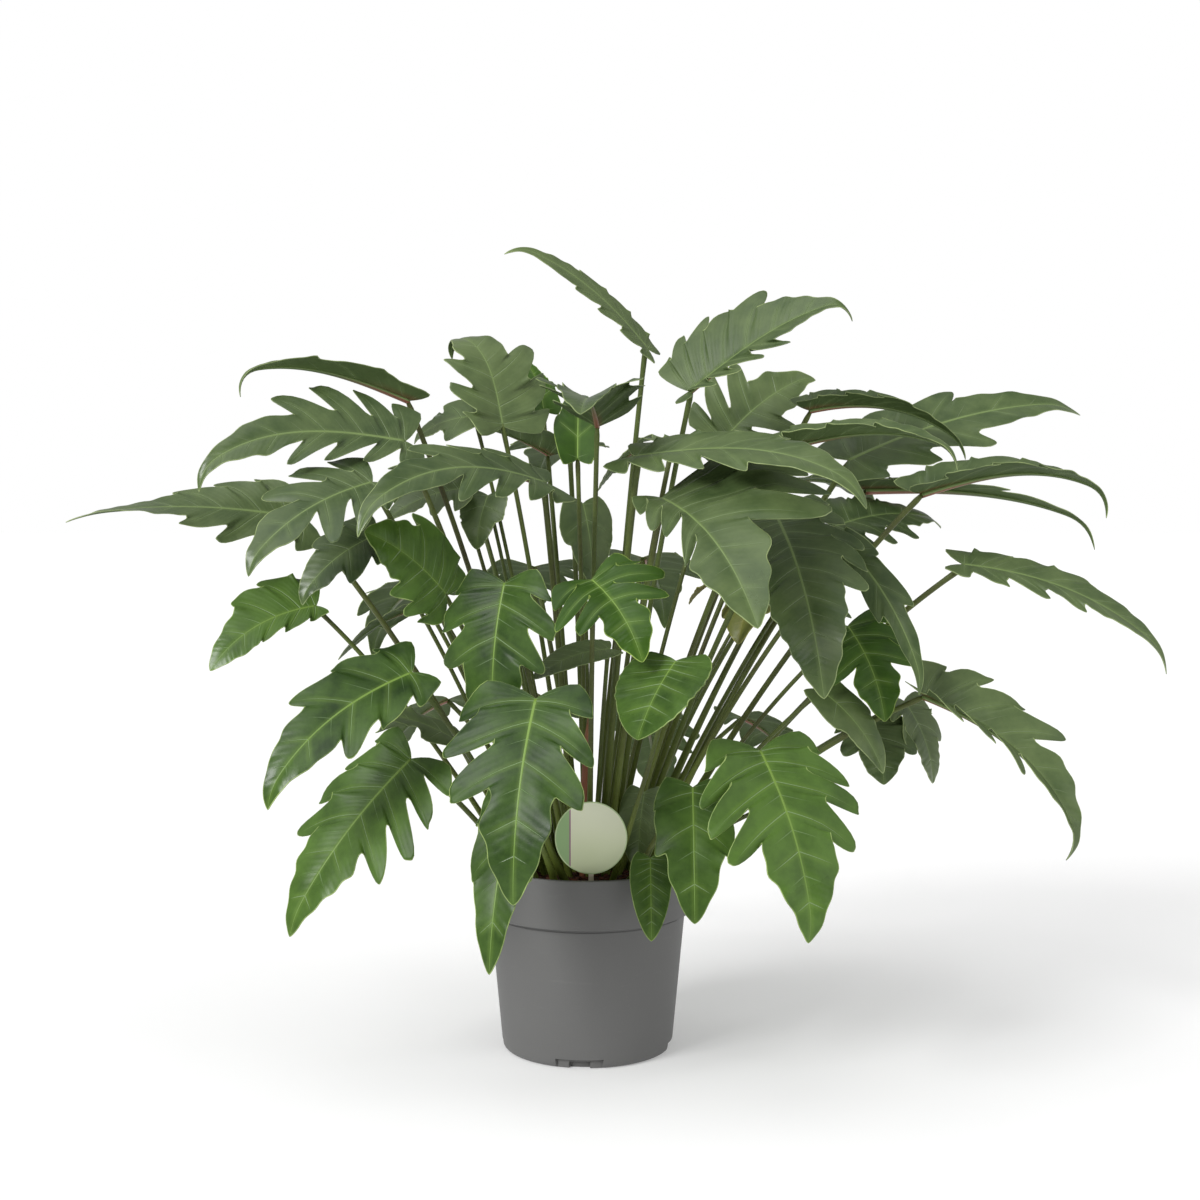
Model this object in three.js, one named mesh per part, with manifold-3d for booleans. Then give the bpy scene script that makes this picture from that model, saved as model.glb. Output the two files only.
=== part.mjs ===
// A xanadu philodendron in a nursery pot: lobed leaves on long stalks that fan out of one crown.
// Millimetres, +Z up. The origin is the middle of the pot's underside, and -Y is the front.

import * as THREE from "three";
import { mergeVertices } from "three/addons/utils/BufferGeometryUtils.js";
import Module from "manifold-3d";

const wasm = await Module();
wasm.setup();

// Pot
const POT_HEIGHT = 184;
const RIM_RADIUS = 105;
const BAND_HEIGHT = 47;
const BAND_FOOT_RADIUS = 104.5;
const BODY_RADIUS = 97;
const BASE_RADIUS = 84;
const BASE_ROUND = 7;
const POT_WALL = 2.5;
const RIM_LIP = 4.5;
const FLOOR_THICKNESS = 3;
const POT_SIDES = 32;
const NOTCHES = 4;
const NOTCH_TURN = -5;
const NOTCH_WIDTH = 46;
const NOTCH_HEIGHT = 9;
const NOTCH_DEPTH = 3;
const DRAIN_WIDTH = 21;
const DRAIN_HEIGHT = 6.5;
const DRAIN_DEPTH = 9;

// Soil
const SOIL_LEVEL = 175;
const SOIL_TOP_RADIUS = 84;
const SOIL_EDGE_DROP = 4;
const SOIL_ROUGHNESS = 1.6;
const SOIL_SIDES = 24;
const CLEARANCE = 0.35;

// Stalks
const ROOT_DEPTH = 16;
const CROWN_DEPTH = 80;
const FOOT_REACH = 66;
const FOOT_PITCH = 11.5;
const SPREAD_PASSES = 80;
const STALK_SIDES = 5;
const STALK_STEPS = 4;
const STALK_RISE = 0.08;
const HOLE_SIDES = 5;
const HOLE_CLEARANCE = 0.8;

// Sheath of the next leaf, rolled up and pointed
const SHEATH_TIP = new THREE.Vector3(2, -58, 340);
const SHEATH_RADIUS = 5;
const SHEATH_SIDES = 8;

// Blades
const BLADE_THICKNESS = 0.9;
const KEEL_DEPTH = 2.2;
const RIB_STEPS = 24;
const TAIL_STATION = 0.73;
const BACK_REACH = 0.13;
const HEART_BACK = 0.35;
const HEART_FRONT = 0.7;
const HEART_WIDEST = HEART_BACK / (HEART_BACK + HEART_FRONT);
const HEART_SCALE = 1 / (HEART_WIDEST ** HEART_BACK * (1 - HEART_WIDEST) ** HEART_FRONT);
const END_LOBE = 0.92;
const END_LOBE_LOSS = 0.5;
const LOBE_END = 0.62;
const LOBE_TIP = 0.72;
const LOBE_SHOULDER = 0.42;
const LOBE_UNEVEN = 0.2;
const TIP_FROM = 0.62;
const TIP_TO = 0.78;
const CUT_FLAT = 0.05;
const LOBE_SWEEP = 0.12;
const LOBE_DROOP = 0.05;
const HOOK_FROM = 0.8;
const HOOK_STATION = 0.88;
const HOOKED = 0.3;
const TAIL_NARROW = 0.5;
const TAIL_FROM = 0.7;
const TAIL_FADE = 0.24;
const LEAN_FROM = 0.5;
const LEAN_FADE = 0.3;
const POINT_FROM = 0.2;
const POINT_RISE = 0.45;
const FOLD_LOSS = 0.55;
const NOTCH_SHARE = 0.045;
const ARCH = 0.12;
const RIPPLE = 0.035;

// Tag
const TAG_RADIUS = 34.5;
const TAG_THICKNESS = 0.8;
const TAG_CENTRE = new THREE.Vector3(4, -88, 222);
const TAG_STAKE_WIDTH = 9;
const TAG_STAKE_LENGTH = 74;
const TAG_SEGMENTS = 20;

const GREENS = { mature: 0x4b6b43, fresh: 0x4a7a2c, young: 0x5f9a33, olive: 0x7b8644 };

// Every leaf by hand: name, collar where the blade meets its stalk, blade tip, bend down along the
// midrib in degrees, curl (1 bends evenly, 2 mostly at the tip), width, roll, fold of the two halves,
// lobes a side, depth of the cuts, colour, sideways bow of the stalk, hook of the tip in degrees, share
// by which the left half is the wider one, and twist from collar to tip in degrees. Leaves of one name
// share a foot.
const LEAVES = [
  ["front_left_broad", [-45, -190, 365], [-62, -255, 195], 45, 1.2, 136, 0, 8, 3, 0.5, "fresh", -32, 0, -0.1, 0],
  ["front_left_lower", [-65, -150, 275], [-85, -215, 125], 35, 1.2, 70, 10, 10, 2, 0.2, "fresh", 0, 0, 0, 0],
  ["left_low_broad", [-165, -110, 300], [-270, -160, 145], 22, 1.2, 126, -30, 8, 4, 0.42, "fresh", 0, 15, 0.1, 0],
  ["left_low_drooping", [-160, -150, 385], [-280, -215, 270], 45, 1.3, 90, -40, 15, 3, 0.25, "fresh", 0, 20, 0, 0],
  ["left_low_behind", [-125, -60, 310], [-205, -90, 340], 30, 1.2, 60, -20, 10, 1, 0.2, "mature", 0, 0, 0, 0],
  ["left_middle_bright", [-265, -40, 440], [-360, -80, 380], 50, 1.2, 66, -50, 10, 3, 0.12, "fresh", 0, 0, -0.4, 0],
  ["left_back_small", [-165, 60, 435], [-255, 40, 380], 40, 1.2, 55, 20, 10, 1, 0.2, "mature", 0, 0, 0, 0],
  ["left_glossy", [-133, -92, 453], [-205, -140, 514], 30, 1.2, 105, -65, 10, 3, 0.18, "fresh", 0, 0, 0, 0],
  ["left_dark_inner", [-200, -90, 510], [-265, -120, 445], 40, 1.2, 70, -40, 10, 2, 0.3, "mature", 0, 25, 0, 0],
  ["left_long_arching", [-40, -60, 560], [-200, -220, 510], 60, 1.5, 90, -35, 10, 4, 0.5, "mature", 0, 30, 0, 0],
  ["left_deep_lobed", [-200, -120, 560], [-300, -200, 475], 40, 1.3, 110, -30, 10, 3, 0.6, "mature", 0, 25, 0, 0],
  ["left_upper_hooked", [-175, -70, 600], [-355, -150, 550], 60, 2.0, 90, -55, 10, 4, 0.55, "mature", 0, 35, -0.25, 0],
  ["left_far", [-280, -20, 525], [-495, -90, 522], 22, 1.2, 86, -60, 10, 4, 0.3, "mature", 0, 10, 0, 62],
  ["left_top_boat", [-176, -20, 642], [-325, -110, 640], 45, 2, 50, 0, 50, 2, 0.1, "mature", 0, 70, 0, 0],
  ["upper_left_upright", [-85, 5, 618], [-141, 70, 690], 115, 2.2, 108, -15, 15, 3, 0.4, "mature", 0, 70, -0.1, 0],
  ["upper_left_under", [-40, 75, 590], [-135, 35, 620], 30, 1.2, 90, 0, 30, 3, 0.3, "mature", 0, 0, 0, 0],
  ["upper_young_left", [-48, 132, 640], [-75, 165, 695], 50, 1.2, 50, 0, 20, 1, 0.4, "young", 0, 30, 0, 0],
  ["upper_fan", [10, -40, 615], [-5, -180, 620], 60, 1.5, 120, 0, 42, 3, 0.4, "mature", 0, 0, 0, 0],
  ["upper_young_centre", [-10, 5, 585], [-10, 115, 655], 50, 1.2, 50, 0, 25, 1, 0.2, "young", 0, 0, 0, 0],
  ["top_slender", [60, 0, 695], [-80, -60, 781], 35, 1.3, 36, -52, 10, 4, 0.12, "mature", 0, 40, 0, 0],
  ["upper_right_plume", [100, -40, 650], [255, -70, 715], 32, 2.2, 118, 40, 30, 5, 0.3, "mature", 0, 75, 0.15, 0],
  ["upper_right_behind", [140, 60, 605], [240, 100, 670], 30, 1.2, 120, 60, 10, 3, 0.6, "mature", 0, 30, 0, 0],
  ["right_upper_keeled", [225, 30, 635], [388, 50, 585], 60, 1.3, 60, 10, 45, 4, 0.25, "mature", 0, 25, 0, 0],
  ["right_upper_long", [270, 60, 585], [530, 140, 635], 25, 1.4, 100, 40, 10, 3, 0.3, "mature", 0, 25, 0, 0],
  ["right_inner_keeled", [178, -92, 590], [340, -150, 570], 50, 1.8, 65, 10, 45, 3, 0.2, "mature", 0, 45, 0, 0],
  ["centre_long", [47, -90, 585], [245, -230, 535], 45, 2, 85, 25, 10, 4, 0.2, "mature", 0, 25, 0, 0],
  ["centre_broad", [70, -130, 545], [145, -290, 435], 45, 1.3, 170, 20, 14, 4, 0.6, "mature", 0, 0, 0.58, 0],
  ["right_centre_lobed", [187, -35, 525], [213, -190, 365], 40, 1.3, 125, 15, 10, 5, 0.35, "mature", 0, 0, 0, 0],
  ["centre_young", [5, -150, 470], [50, -215, 400], 40, 1.3, 110, 30, 15, 3, 0.65, "young", 0, 0, 0, 0],
  ["centre_heart", [80, -200, 400], [45, -240, 335], 25, 1.2, 100, 0, 10, 0, 0, "fresh", 12, 0, 0, 0],
  ["centre_dark_small", [22, -70, 400], [-50, -110, 375], 35, 1.2, 45, -20, 10, 0, 0, "mature", 0, 0, 0, 0],
  ["left_centre_bright", [-76, -132, 466], [-83, -144, 318], 35, 1.2, 118, 0, 10, 3, 0.35, "fresh", 0, 0, 0, 0],
  ["right_front_broad", [155, -200, 320], [190, -265, 165], 40, 1.2, 145, 5, 8, 4, 0.48, "fresh", 30, 25, 0, 0],
  ["right_front_inner", [98, -140, 278], [97, -195, 165], 35, 1.2, 82, 0, 10, 2, 0.2, "fresh", 0, 0, 0, 0],
  ["rim_small", [60, -100, 205], [60, -135, 135], 35, 1.2, 40, 0, 10, 0, 0, "fresh", 0, 0, 0, 0],
  ["centre_low_dark", [56, -42, 258], [50, -58, 185], 35, 1.2, 46, 0, 10, 0, 0, "mature", 0, 0, 0, 0],
  ["right_low_hidden", [175, -140, 265], [220, -165, 200], 50, 1.2, 50, 20, 10, 1, 0.2, "mature", 0, 0, 0, 0],
  ["right_low_narrow", [225, -60, 360], [280, -100, 285], 40, 1.2, 50, 30, 10, 1, 0.2, "mature", 0, 0, 0, 0],
  ["right_bright", [255, -38, 420], [284, -84, 332], 40, 1.2, 105, 20, 10, 3, 0.5, "young", 0, 0, 0, 0],
  ["right_dark_pair", [280, -10, 325], [290, -40, 265], 40, 1.2, 85, 0, 10, 2, 0.3, "mature", 0, 0, 0, 0],
  ["right_dark_pair", [320, 20, 340], [345, 0, 260], 40, 1.2, 80, 0, 10, 2, 0.3, "mature", 0, 0, 0, 0],
  ["right_drooping", [250, -60, 500], [312, -110, 360], 35, 1.2, 40, 60, 15, 2, 0.35, "mature", 0, 20, 0, 0],
  ["right_dark_upper", [248, 4, 517], [370, 88, 514], 30, 1.2, 95, 30, 10, 3, 0.4, "mature", 0, 30, 0, 0],
  ["right_far_upper", [330, -20, 550], [530, 40, 525], 52, 1.8, 75, 10, 45, 3, 0.25, "mature", 0, 55, 0, 0],
  ["right_far_slender", [290, 85, 555], [547, 145, 490], 30, 1.8, 65, 0, 35, 3, 0.4, "mature", 0, 45, 0, 0],
  ["right_far", [370, -30, 480], [560, -60, 375], 45, 1.3, 64, 30, 15, 4, 0.25, "mature", 0, 30, 0, 0],
  ["right_low_far", [325, -60, 355], [450, -110, 205], 60, 1.5, 105, 25, 45, 4, 0.45, "mature", 0, 40, 0, 0],
  ["left_upper_small", [-112, 12, 628], [-175, 20, 600], 40, 1.2, 60, -40, 12, 1, 0.4, "mature", 0, 30, 0, 0],
  ["left_inner_low", [-128, 22, 555], [-200, 2, 520], 35, 1.2, 75, -30, 10, 2, 0.4, "mature", 0, 20, 0, 0],
  ["left_inner_low", [-100, 10, 548], [-110, -8, 494], 35, 1.2, 56, 0, 10, 1, 0.15, "mature", 0, 0, 0, 0],
  ["inner_dark", [-5, 50, 540], [5, 30, 455], 30, 1.2, 60, 0, 10, 1, 0.1, "mature", 0, 0, 0, 0],
  ["inner_dark", [54, 70, 597], [10, 55, 552], 35, 1.2, 52, 25, 10, 1, 0.15, "mature", 0, 0, 0, 0],
  ["inner_yellow", [140, 60, 465], [105, 70, 435], 30, 1.2, 55, 0, 10, 1, 0.2, "olive", 0, 0, 0, 0],
  ["inner_yellow", [168, 20, 448], [150, -10, 400], 35, 1.2, 60, 10, 10, 1, 0.2, "olive", 0, 0, 0, 0],
  ["back_left", [-20, 150, 600], [-60, 310, 560], 50, 1.5, 110, 0, 12, 3, 0.45, "mature", 0, 30, 0, 0],
  ["back_left", [-60, 190, 470], [-85, 340, 370], 45, 1.3, 120, 0, 10, 3, 0.5, "mature", 0, 30, 0, 0],
  ["back_right", [90, 130, 605], [160, 290, 560], 50, 1.5, 110, 0, 12, 3, 0.45, "mature", 0, 30, 0, 0],
  ["back_right", [60, 200, 480], [90, 360, 390], 45, 1.3, 120, 0, 10, 3, 0.5, "mature", 0, 30, 0, 0],
  ["back_far_left", [-130, 140, 570], [-225, 280, 540], 50, 1.5, 105, 0, 12, 3, 0.45, "mature", 0, 30, 0, 0],
  ["back_far_left", [-180, 160, 450], [-250, 290, 360], 45, 1.3, 110, 0, 10, 2, 0.5, "mature", 0, 30, 0, 0],
  ["back_far_right", [190, 150, 560], [330, 260, 520], 50, 1.5, 105, 0, 12, 3, 0.45, "mature", 0, 30, 0, 0],
  ["back_far_right", [190, 190, 440], [300, 310, 350], 45, 1.3, 110, 0, 10, 3, 0.5, "mature", 0, 30, 0, 0],
  ["back_low_left", [-50, 160, 330], [-80, 270, 210], 40, 1.2, 110, 0, 10, 3, 0.45, "mature", 0, 0, 0, 0],
  ["back_low_left", [-150, 130, 330], [-235, 215, 240], 40, 1.2, 105, 0, 10, 2, 0.45, "mature", 0, 0, 0, 0],
  ["back_low_right", [60, 170, 310], [80, 285, 195], 40, 1.2, 105, 0, 10, 3, 0.45, "mature", 0, 0, 0, 0],
  ["back_low_right", [165, 140, 310], [245, 225, 215], 40, 1.2, 100, 0, 10, 2, 0.45, "mature", 0, 0, 0, 0],
];

const radians = THREE.MathUtils.degToRad;
const clamp = THREE.MathUtils.clamp;

// A draw between 0 and 1 that is the same each time for the same leaf and index.
function draw(seed, index) {
  const x = Math.sin(seed * 12.9898 + index * 78.233) * 43758.5453;
  return x - Math.floor(x);
}

function solidOf(geometry) {
  const bare = geometry.clone();
  bare.deleteAttribute("normal");
  bare.deleteAttribute("uv");
  const merged = mergeVertices(bare, 1e-3);
  return new wasm.Manifold(
    new wasm.Mesh({
      numProp: 3,
      vertProperties: new Float32Array(merged.attributes.position.array),
      triVerts: new Uint32Array(merged.index.array),
    }),
  );
}

function meshOf(name, solid, color, roughness) {
  const { vertProperties, triVerts } = solid.getMesh();
  const geometry = new THREE.BufferGeometry();
  geometry.setAttribute("position", new THREE.BufferAttribute(vertProperties, 3));
  geometry.setIndex(new THREE.BufferAttribute(triVerts, 1));
  geometry.computeVertexNormals();
  const material = new THREE.MeshStandardMaterial({ color, roughness, metalness: 0 });
  const mesh = new THREE.Mesh(geometry, material);
  mesh.name = name;
  return mesh;
}

function boxSolid(width, depth, height, place) {
  return solidOf(new THREE.BoxGeometry(width, depth, height).applyMatrix4(place));
}

function latheSolid(profile, sides, place = new THREE.Matrix4()) {
  const points = profile.map(([radius, height]) => new THREE.Vector2(radius, height));
  return solidOf(new THREE.LatheGeometry(points, sides).rotateX(Math.PI / 2).applyMatrix4(place));
}

function tubeSolid(path, radius, sides, steps) {
  const section = new THREE.Shape();
  for (let i = 0; i < sides; i++) {
    const angle = (2 * Math.PI * i) / sides;
    const x = radius * Math.cos(angle);
    const y = radius * Math.sin(angle);
    if (i === 0) section.moveTo(x, y);
    else section.lineTo(x, y);
  }
  return solidOf(new THREE.ExtrudeGeometry(section, { steps, extrudePath: path }));
}

// Eases from 0 to 1 as x does.
function smooth(x) {
  const inside = clamp(x, 0, 1);
  return inside * inside * (3 - 2 * inside);
}

// How far the midrib has turned down at a share of its length.
function ribAngle(leaf, share) {
  return -leaf.bend * share ** leaf.curl - leaf.hook * smooth((share - HOOK_FROM) / (1 - HOOK_FROM));
}

// The midrib lies in the upright plane through collar and tip and turns down as it goes out.
// Its length is the one that spans collar to tip once it has bent.
class Midrib {
  constructor(leaf) {
    this.leaf = leaf;
    const span = leaf.tip.clone().sub(leaf.collar);
    this.chord = span.clone().normalize();
    this.flat = new THREE.Vector3(-this.chord.y, this.chord.x, 0).normalize();
    this.rise = this.chord.clone().cross(this.flat);
    const steps = [[0, 0]];
    for (let i = 0; i < RIB_STEPS; i++) {
      const angle = ribAngle(leaf, (i + 0.5) / RIB_STEPS);
      const [x, z] = steps[i];
      steps.push([x + Math.cos(angle) / RIB_STEPS, z + Math.sin(angle) / RIB_STEPS]);
    }
    const [endX, endZ] = steps[RIB_STEPS];
    this.start = Math.atan2(endZ, endX);
    this.length = span.length() / Math.hypot(endX, endZ);
    const cos = Math.cos(this.start);
    const sin = Math.sin(this.start);
    this.points = steps.map(([x, z]) =>
      leaf.collar
        .clone()
        .addScaledVector(this.chord, this.length * (x * cos + z * sin))
        .addScaledVector(this.rise, this.length * (z * cos - x * sin)),
    );
  }

  // Point, direction, left and upper side of the blade at a share of the midrib's length. The
  // basal lobes lie before 0, where the rib is taken to run on straight.
  at(share) {
    const inside = clamp(share, 0, 1);
    const step = Math.min(Math.floor(inside * RIB_STEPS), RIB_STEPS - 1);
    const point = this.points[step].clone().lerp(this.points[step + 1], inside * RIB_STEPS - step);
    const angle = ribAngle(this.leaf, inside) - this.start;
    const along = this.chord.clone().multiplyScalar(Math.cos(angle));
    along.addScaledVector(this.rise, Math.sin(angle));
    point.addScaledVector(along, (share - inside) * this.length);
    const roll = this.leaf.roll + this.leaf.twist * smooth(inside);
    const across = this.flat.clone().multiplyScalar(Math.cos(roll));
    across.addScaledVector(this.rise, Math.sin(roll));
    across.addScaledVector(along, -across.dot(along)).normalize();
    return { point, along, across, up: along.clone().cross(across) };
  }
}

// Share of the midrib where the side vein of a place on the outline starts.
function veinStart(sigma) {
  return Math.max(0, (sigma - 0.08) / 0.92) ** 1.7;
}

// How far the blade reaches along that vein, out of the uncut heart shape: 1 at each lobe's
// point, and less in the cuts between lobes. The first cut is where the stalk joins.
function reach(leaf, sigma, side) {
  const notch = 0.02 + 0.98 * smooth(sigma / NOTCH_SHARE);
  if (leaf.lobes === 0) return notch;
  const place = (sigma / LOBE_END) * leaf.lobes;
  const lobe = Math.floor(place + 1e-9);
  const phase = Math.max(0, place - lobe);
  const rising = phase < LOBE_TIP;
  const cutIndex = rising ? lobe : lobe + 1;
  const odd = side > 0 ? 1 : 0;
  const rise = clamp((phase - CUT_FLAT) / (TIP_FROM - CUT_FLAT), 0, 1);
  const fall = clamp((phase - TIP_TO) / (1 - CUT_FLAT - TIP_TO), 0, 1);
  const nearCut = rising
    ? (0.5 + 0.5 * Math.cos(Math.PI * rise)) ** 1.2
    : 0.5 - 0.5 * Math.cos(Math.PI * fall);
  const isCut = cutIndex > 0 && cutIndex <= leaf.lobes;
  const first = 0.6 + 0.4 * Math.min(1, cutIndex / 1.5);
  const depth = isCut ? first * leaf.cut * (0.75 + 0.5 * draw(leaf.seed, cutIndex * 2 + odd)) : 0;
  const uneven = LOBE_UNEVEN * (draw(leaf.seed, 31 + lobe * 2 + odd) - 0.5);
  const full = lobe < leaf.lobes ? 1 + uneven * Math.sin(Math.PI * phase) : END_LOBE - END_LOBE_LOSS * leaf.cut;
  return notch * (full - Math.max(0, full - 1 + Math.min(depth, 0.8)) * nearCut);
}

// A point of the blade, `out` of the way from midrib to margin on the left (1) or right (-1) side.
// Each lobe's point sweeps forwards and droops, by an amount of its own.
function bladePoint(leaf, rib, sigma, out, side) {
  const start = veinStart(sigma);
  const way = reach(leaf, sigma, side) * out;
  const half = leaf.width / 2;
  const lobed = (sigma / LOBE_END) * leaf.lobes;
  const phase = lobed % 1;
  const own = draw(leaf.seed, 71 + Math.floor(lobed) * 2 + (side > 0 ? 1 : 0));
  const inLobes = sigma < LOBE_END && leaf.cut > 0 ? smooth(sigma / 0.12) : 0;
  const atPoint = smooth((phase - POINT_FROM) / POINT_RISE) * smooth((1 - phase) / POINT_FROM);
  const pointed = atPoint * inLobes * out ** 3;
  const sweep = ((LOBE_SWEEP * half) / rib.length) * (0.6 + 0.8 * own) * pointed;
  const u = start + way * ((1 + BACK_REACH) * sigma - BACK_REACH - start) + sweep;
  const lean = 1 + side * leaf.lean * (1 - smooth((sigma - LEAN_FROM) / LEAN_FADE));
  const tail = 1 - Math.min(leaf.hook, 1.2) * TAIL_NARROW * smooth((sigma - TAIL_FROM) / TAIL_FADE);
  const v = way * HEART_SCALE * sigma ** HEART_BACK * (1 - sigma) ** HEART_FRONT * lean * tail;
  const fold = leaf.fold * (1 - FOLD_LOSS * clamp(u, 0, 1));
  const wave = sigma < LOBE_END ? Math.cos((Math.PI * phase) / LOBE_TIP) : 0;
  const droop = LOBE_DROOP * (0.3 + 1.4 * own) * pointed;
  const height = half * (v * Math.sin(fold) - ARCH * v * v + RIPPLE * out * out * wave - droop);
  const frame = rib.at(u);
  return frame.point
    .addScaledVector(frame.across, side * half * v * Math.cos(fold))
    .addScaledVector(frame.up, height);
}

// Places along the outline that its shape needs: each cut, shoulder and point of a lobe, then the end lobe.
function outlineShares(lobes) {
  if (lobes === 0) return [0.03, 0.1, 0.25, 0.45, 0.65, 0.82, 0.93];
  const shares = [0.03];
  const pitch = LOBE_END / lobes;
  for (let i = 0; i < lobes; i++) {
    if (i > 0) shares.push(i * pitch);
    shares.push((i + LOBE_SHOULDER) * pitch, (i + LOBE_TIP) * pitch);
  }
  return [...shares, LOBE_END, 0.78, 0.9];
}

// Each half of the blade is a strip between midrib and outline, split alike on both faces. The
// upper face is half a thickness above the surface, and the lower one thickens into a keel
// under the midrib.
function bladeSolid(leaf, rib) {
  const shares = outlineShares(leaf.lobes);
  const cuts = leaf.lobes === 0 ? shares : shares.filter((share) => isWhole((share / LOBE_END) * leaf.lobes));
  const inner = cuts.map(veinStart).filter((share) => share > 0.05 && share < TAIL_STATION - 0.05);
  const hooked = leaf.hook > HOOKED ? [HOOK_STATION] : [];
  const stations = [0, ...inner, TAIL_STATION, ...hooked, 1];
  const points = stations.map((share) => rib.at(share).point);
  const last = stations.length - 1;
  const faces = [];
  const margin = [];
  for (const side of [1, -1]) {
    const edge = [0];
    for (const sigma of shares) {
      edge.push(points.length);
      points.push(bladePoint(leaf, rib, sigma, 1, side));
    }
    edge.push(last);
    const anchors = [0, ...shares.map((share) => anchorOf(stations, veinStart(share))), last];
    for (let i = 0; i < edge.length - 1; i++) {
      const here = anchors[i];
      const around = [];
      if (edge[i] !== here && edge[i + 1] !== here) around.push([here, edge[i], edge[i + 1]]);
      for (let a = here; a < anchors[i + 1]; a++) {
        if (edge[i + 1] !== a + 1) around.push([a, edge[i + 1], a + 1]);
      }
      faces.push(...around.map(([a, b, c]) => (side > 0 ? [a, c, b] : [a, b, c])));
      margin.push(side > 0 ? [edge[i + 1], edge[i]] : [edge[i], edge[i + 1]]);
    }
  }
  return thickened(points, faces, margin, (index) =>
    index < last ? KEEL_DEPTH * (leaf.length / 200) * (1 - stations[index]) ** 1.2 : 0,
  );
}

const isWhole = (value) => Math.abs(value - Math.round(value)) < 1e-6;

function anchorOf(stations, share) {
  let anchor = 0;
  while (anchor < stations.length - 2 && stations[anchor + 1] <= share + 1e-9) anchor++;
  return anchor;
}

// A sheet of triangles made solid along its own averaged normals.
function thickened(points, faces, margin, extraBelow) {
  const normals = points.map(() => new THREE.Vector3());
  for (const [a, b, c] of faces) {
    const ab = points[b].clone().sub(points[a]);
    const ac = points[c].clone().sub(points[a]);
    const normal = ab.cross(ac);
    for (const corner of [a, b, c]) normals[corner].add(normal);
  }
  const count = points.length;
  const position = new Float32Array(count * 6);
  points.forEach((point, i) => {
    const normal = normals[i].normalize();
    const top = point.clone().addScaledVector(normal, BLADE_THICKNESS / 2);
    const below = point.clone().addScaledVector(normal, -BLADE_THICKNESS / 2 - extraBelow(i));
    top.toArray(position, i * 3);
    below.toArray(position, (count + i) * 3);
  });
  const index = [];
  for (const [a, b, c] of faces) index.push(a, b, c, count + a, count + c, count + b);
  for (const [a, b] of margin) index.push(b, a, count + a, b, count + a, count + b);
  const geometry = new THREE.BufferGeometry();
  geometry.setAttribute("position", new THREE.BufferAttribute(position, 3));
  geometry.setIndex(index);
  return solidOf(geometry);
}

// Stalks aim at one point under the soil, so they fan out and don't cross. Their feet then push
// each other apart until they stand a pitch apart.
function feetOf(stems) {
  const feet = new Map();
  for (const { name, collar } of stems) {
    const share = CROWN_DEPTH / (CROWN_DEPTH + collar.z - SOIL_LEVEL);
    const foot = new THREE.Vector2(collar.x, collar.y).multiplyScalar(share);
    if (!feet.has(name)) feet.set(name, foot);
  }
  const all = [...feet.values()];
  for (let pass = 0; pass < SPREAD_PASSES; pass++) {
    const pushes = all.map((foot) => {
      const push = new THREE.Vector2();
      for (const other of all) {
        const gap = foot.clone().sub(other);
        const near = gap.length();
        if (near > 0 && near < FOOT_PITCH) push.addScaledVector(gap, (FOOT_PITCH - near) / near / 2);
      }
      return push;
    });
    all.forEach((foot, i) => foot.add(pushes[i]).clampLength(0, FOOT_REACH));
  }
  return feet;
}

const stalkRadius = (leaf) => 1.5 + leaf.length / 200;

const rootAt = (foot) => new THREE.Vector3(foot.x, foot.y, SOIL_LEVEL - ROOT_DEPTH);

function stalkPath(leaf, rib, foot) {
  const root = rootAt(foot);
  const { point, along, up } = rib.at(0);
  const end = point.addScaledVector(up, -0.4 * stalkRadius(leaf)).addScaledVector(along, 2);
  const span = end.clone().sub(root);
  const sideways = new THREE.Vector3(-span.y, span.x, 0).normalize();
  const handle = (share) =>
    root
      .clone()
      .addScaledVector(span, share)
      .addScaledVector(sideways, leaf.bow)
      .add(new THREE.Vector3(0, 0, STALK_RISE * span.length()));
  return new THREE.CubicBezierCurve3(root, handle(1 / 3), handle(2 / 3), end);
}

function readLeaves() {
  return LEAVES.map((row, i) => {
    const [name, collar, tip, bend, curl, width, roll, fold, lobes, cut, tone, bow, hook, lean, twist] = row;
    const leaf = {
      name: "leaf_" + name,
      collar: new THREE.Vector3(...collar),
      tip: new THREE.Vector3(...tip),
      bend: radians(bend),
      curl,
      width,
      roll: radians(roll),
      fold: radians(fold),
      lobes,
      cut,
      tone,
      bow,
      hook: radians(hook),
      lean,
      twist: radians(twist),
      seed: i + 1,
    };
    leaf.rib = new Midrib(leaf);
    leaf.length = leaf.rib.length;
    return leaf;
  });
}

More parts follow.
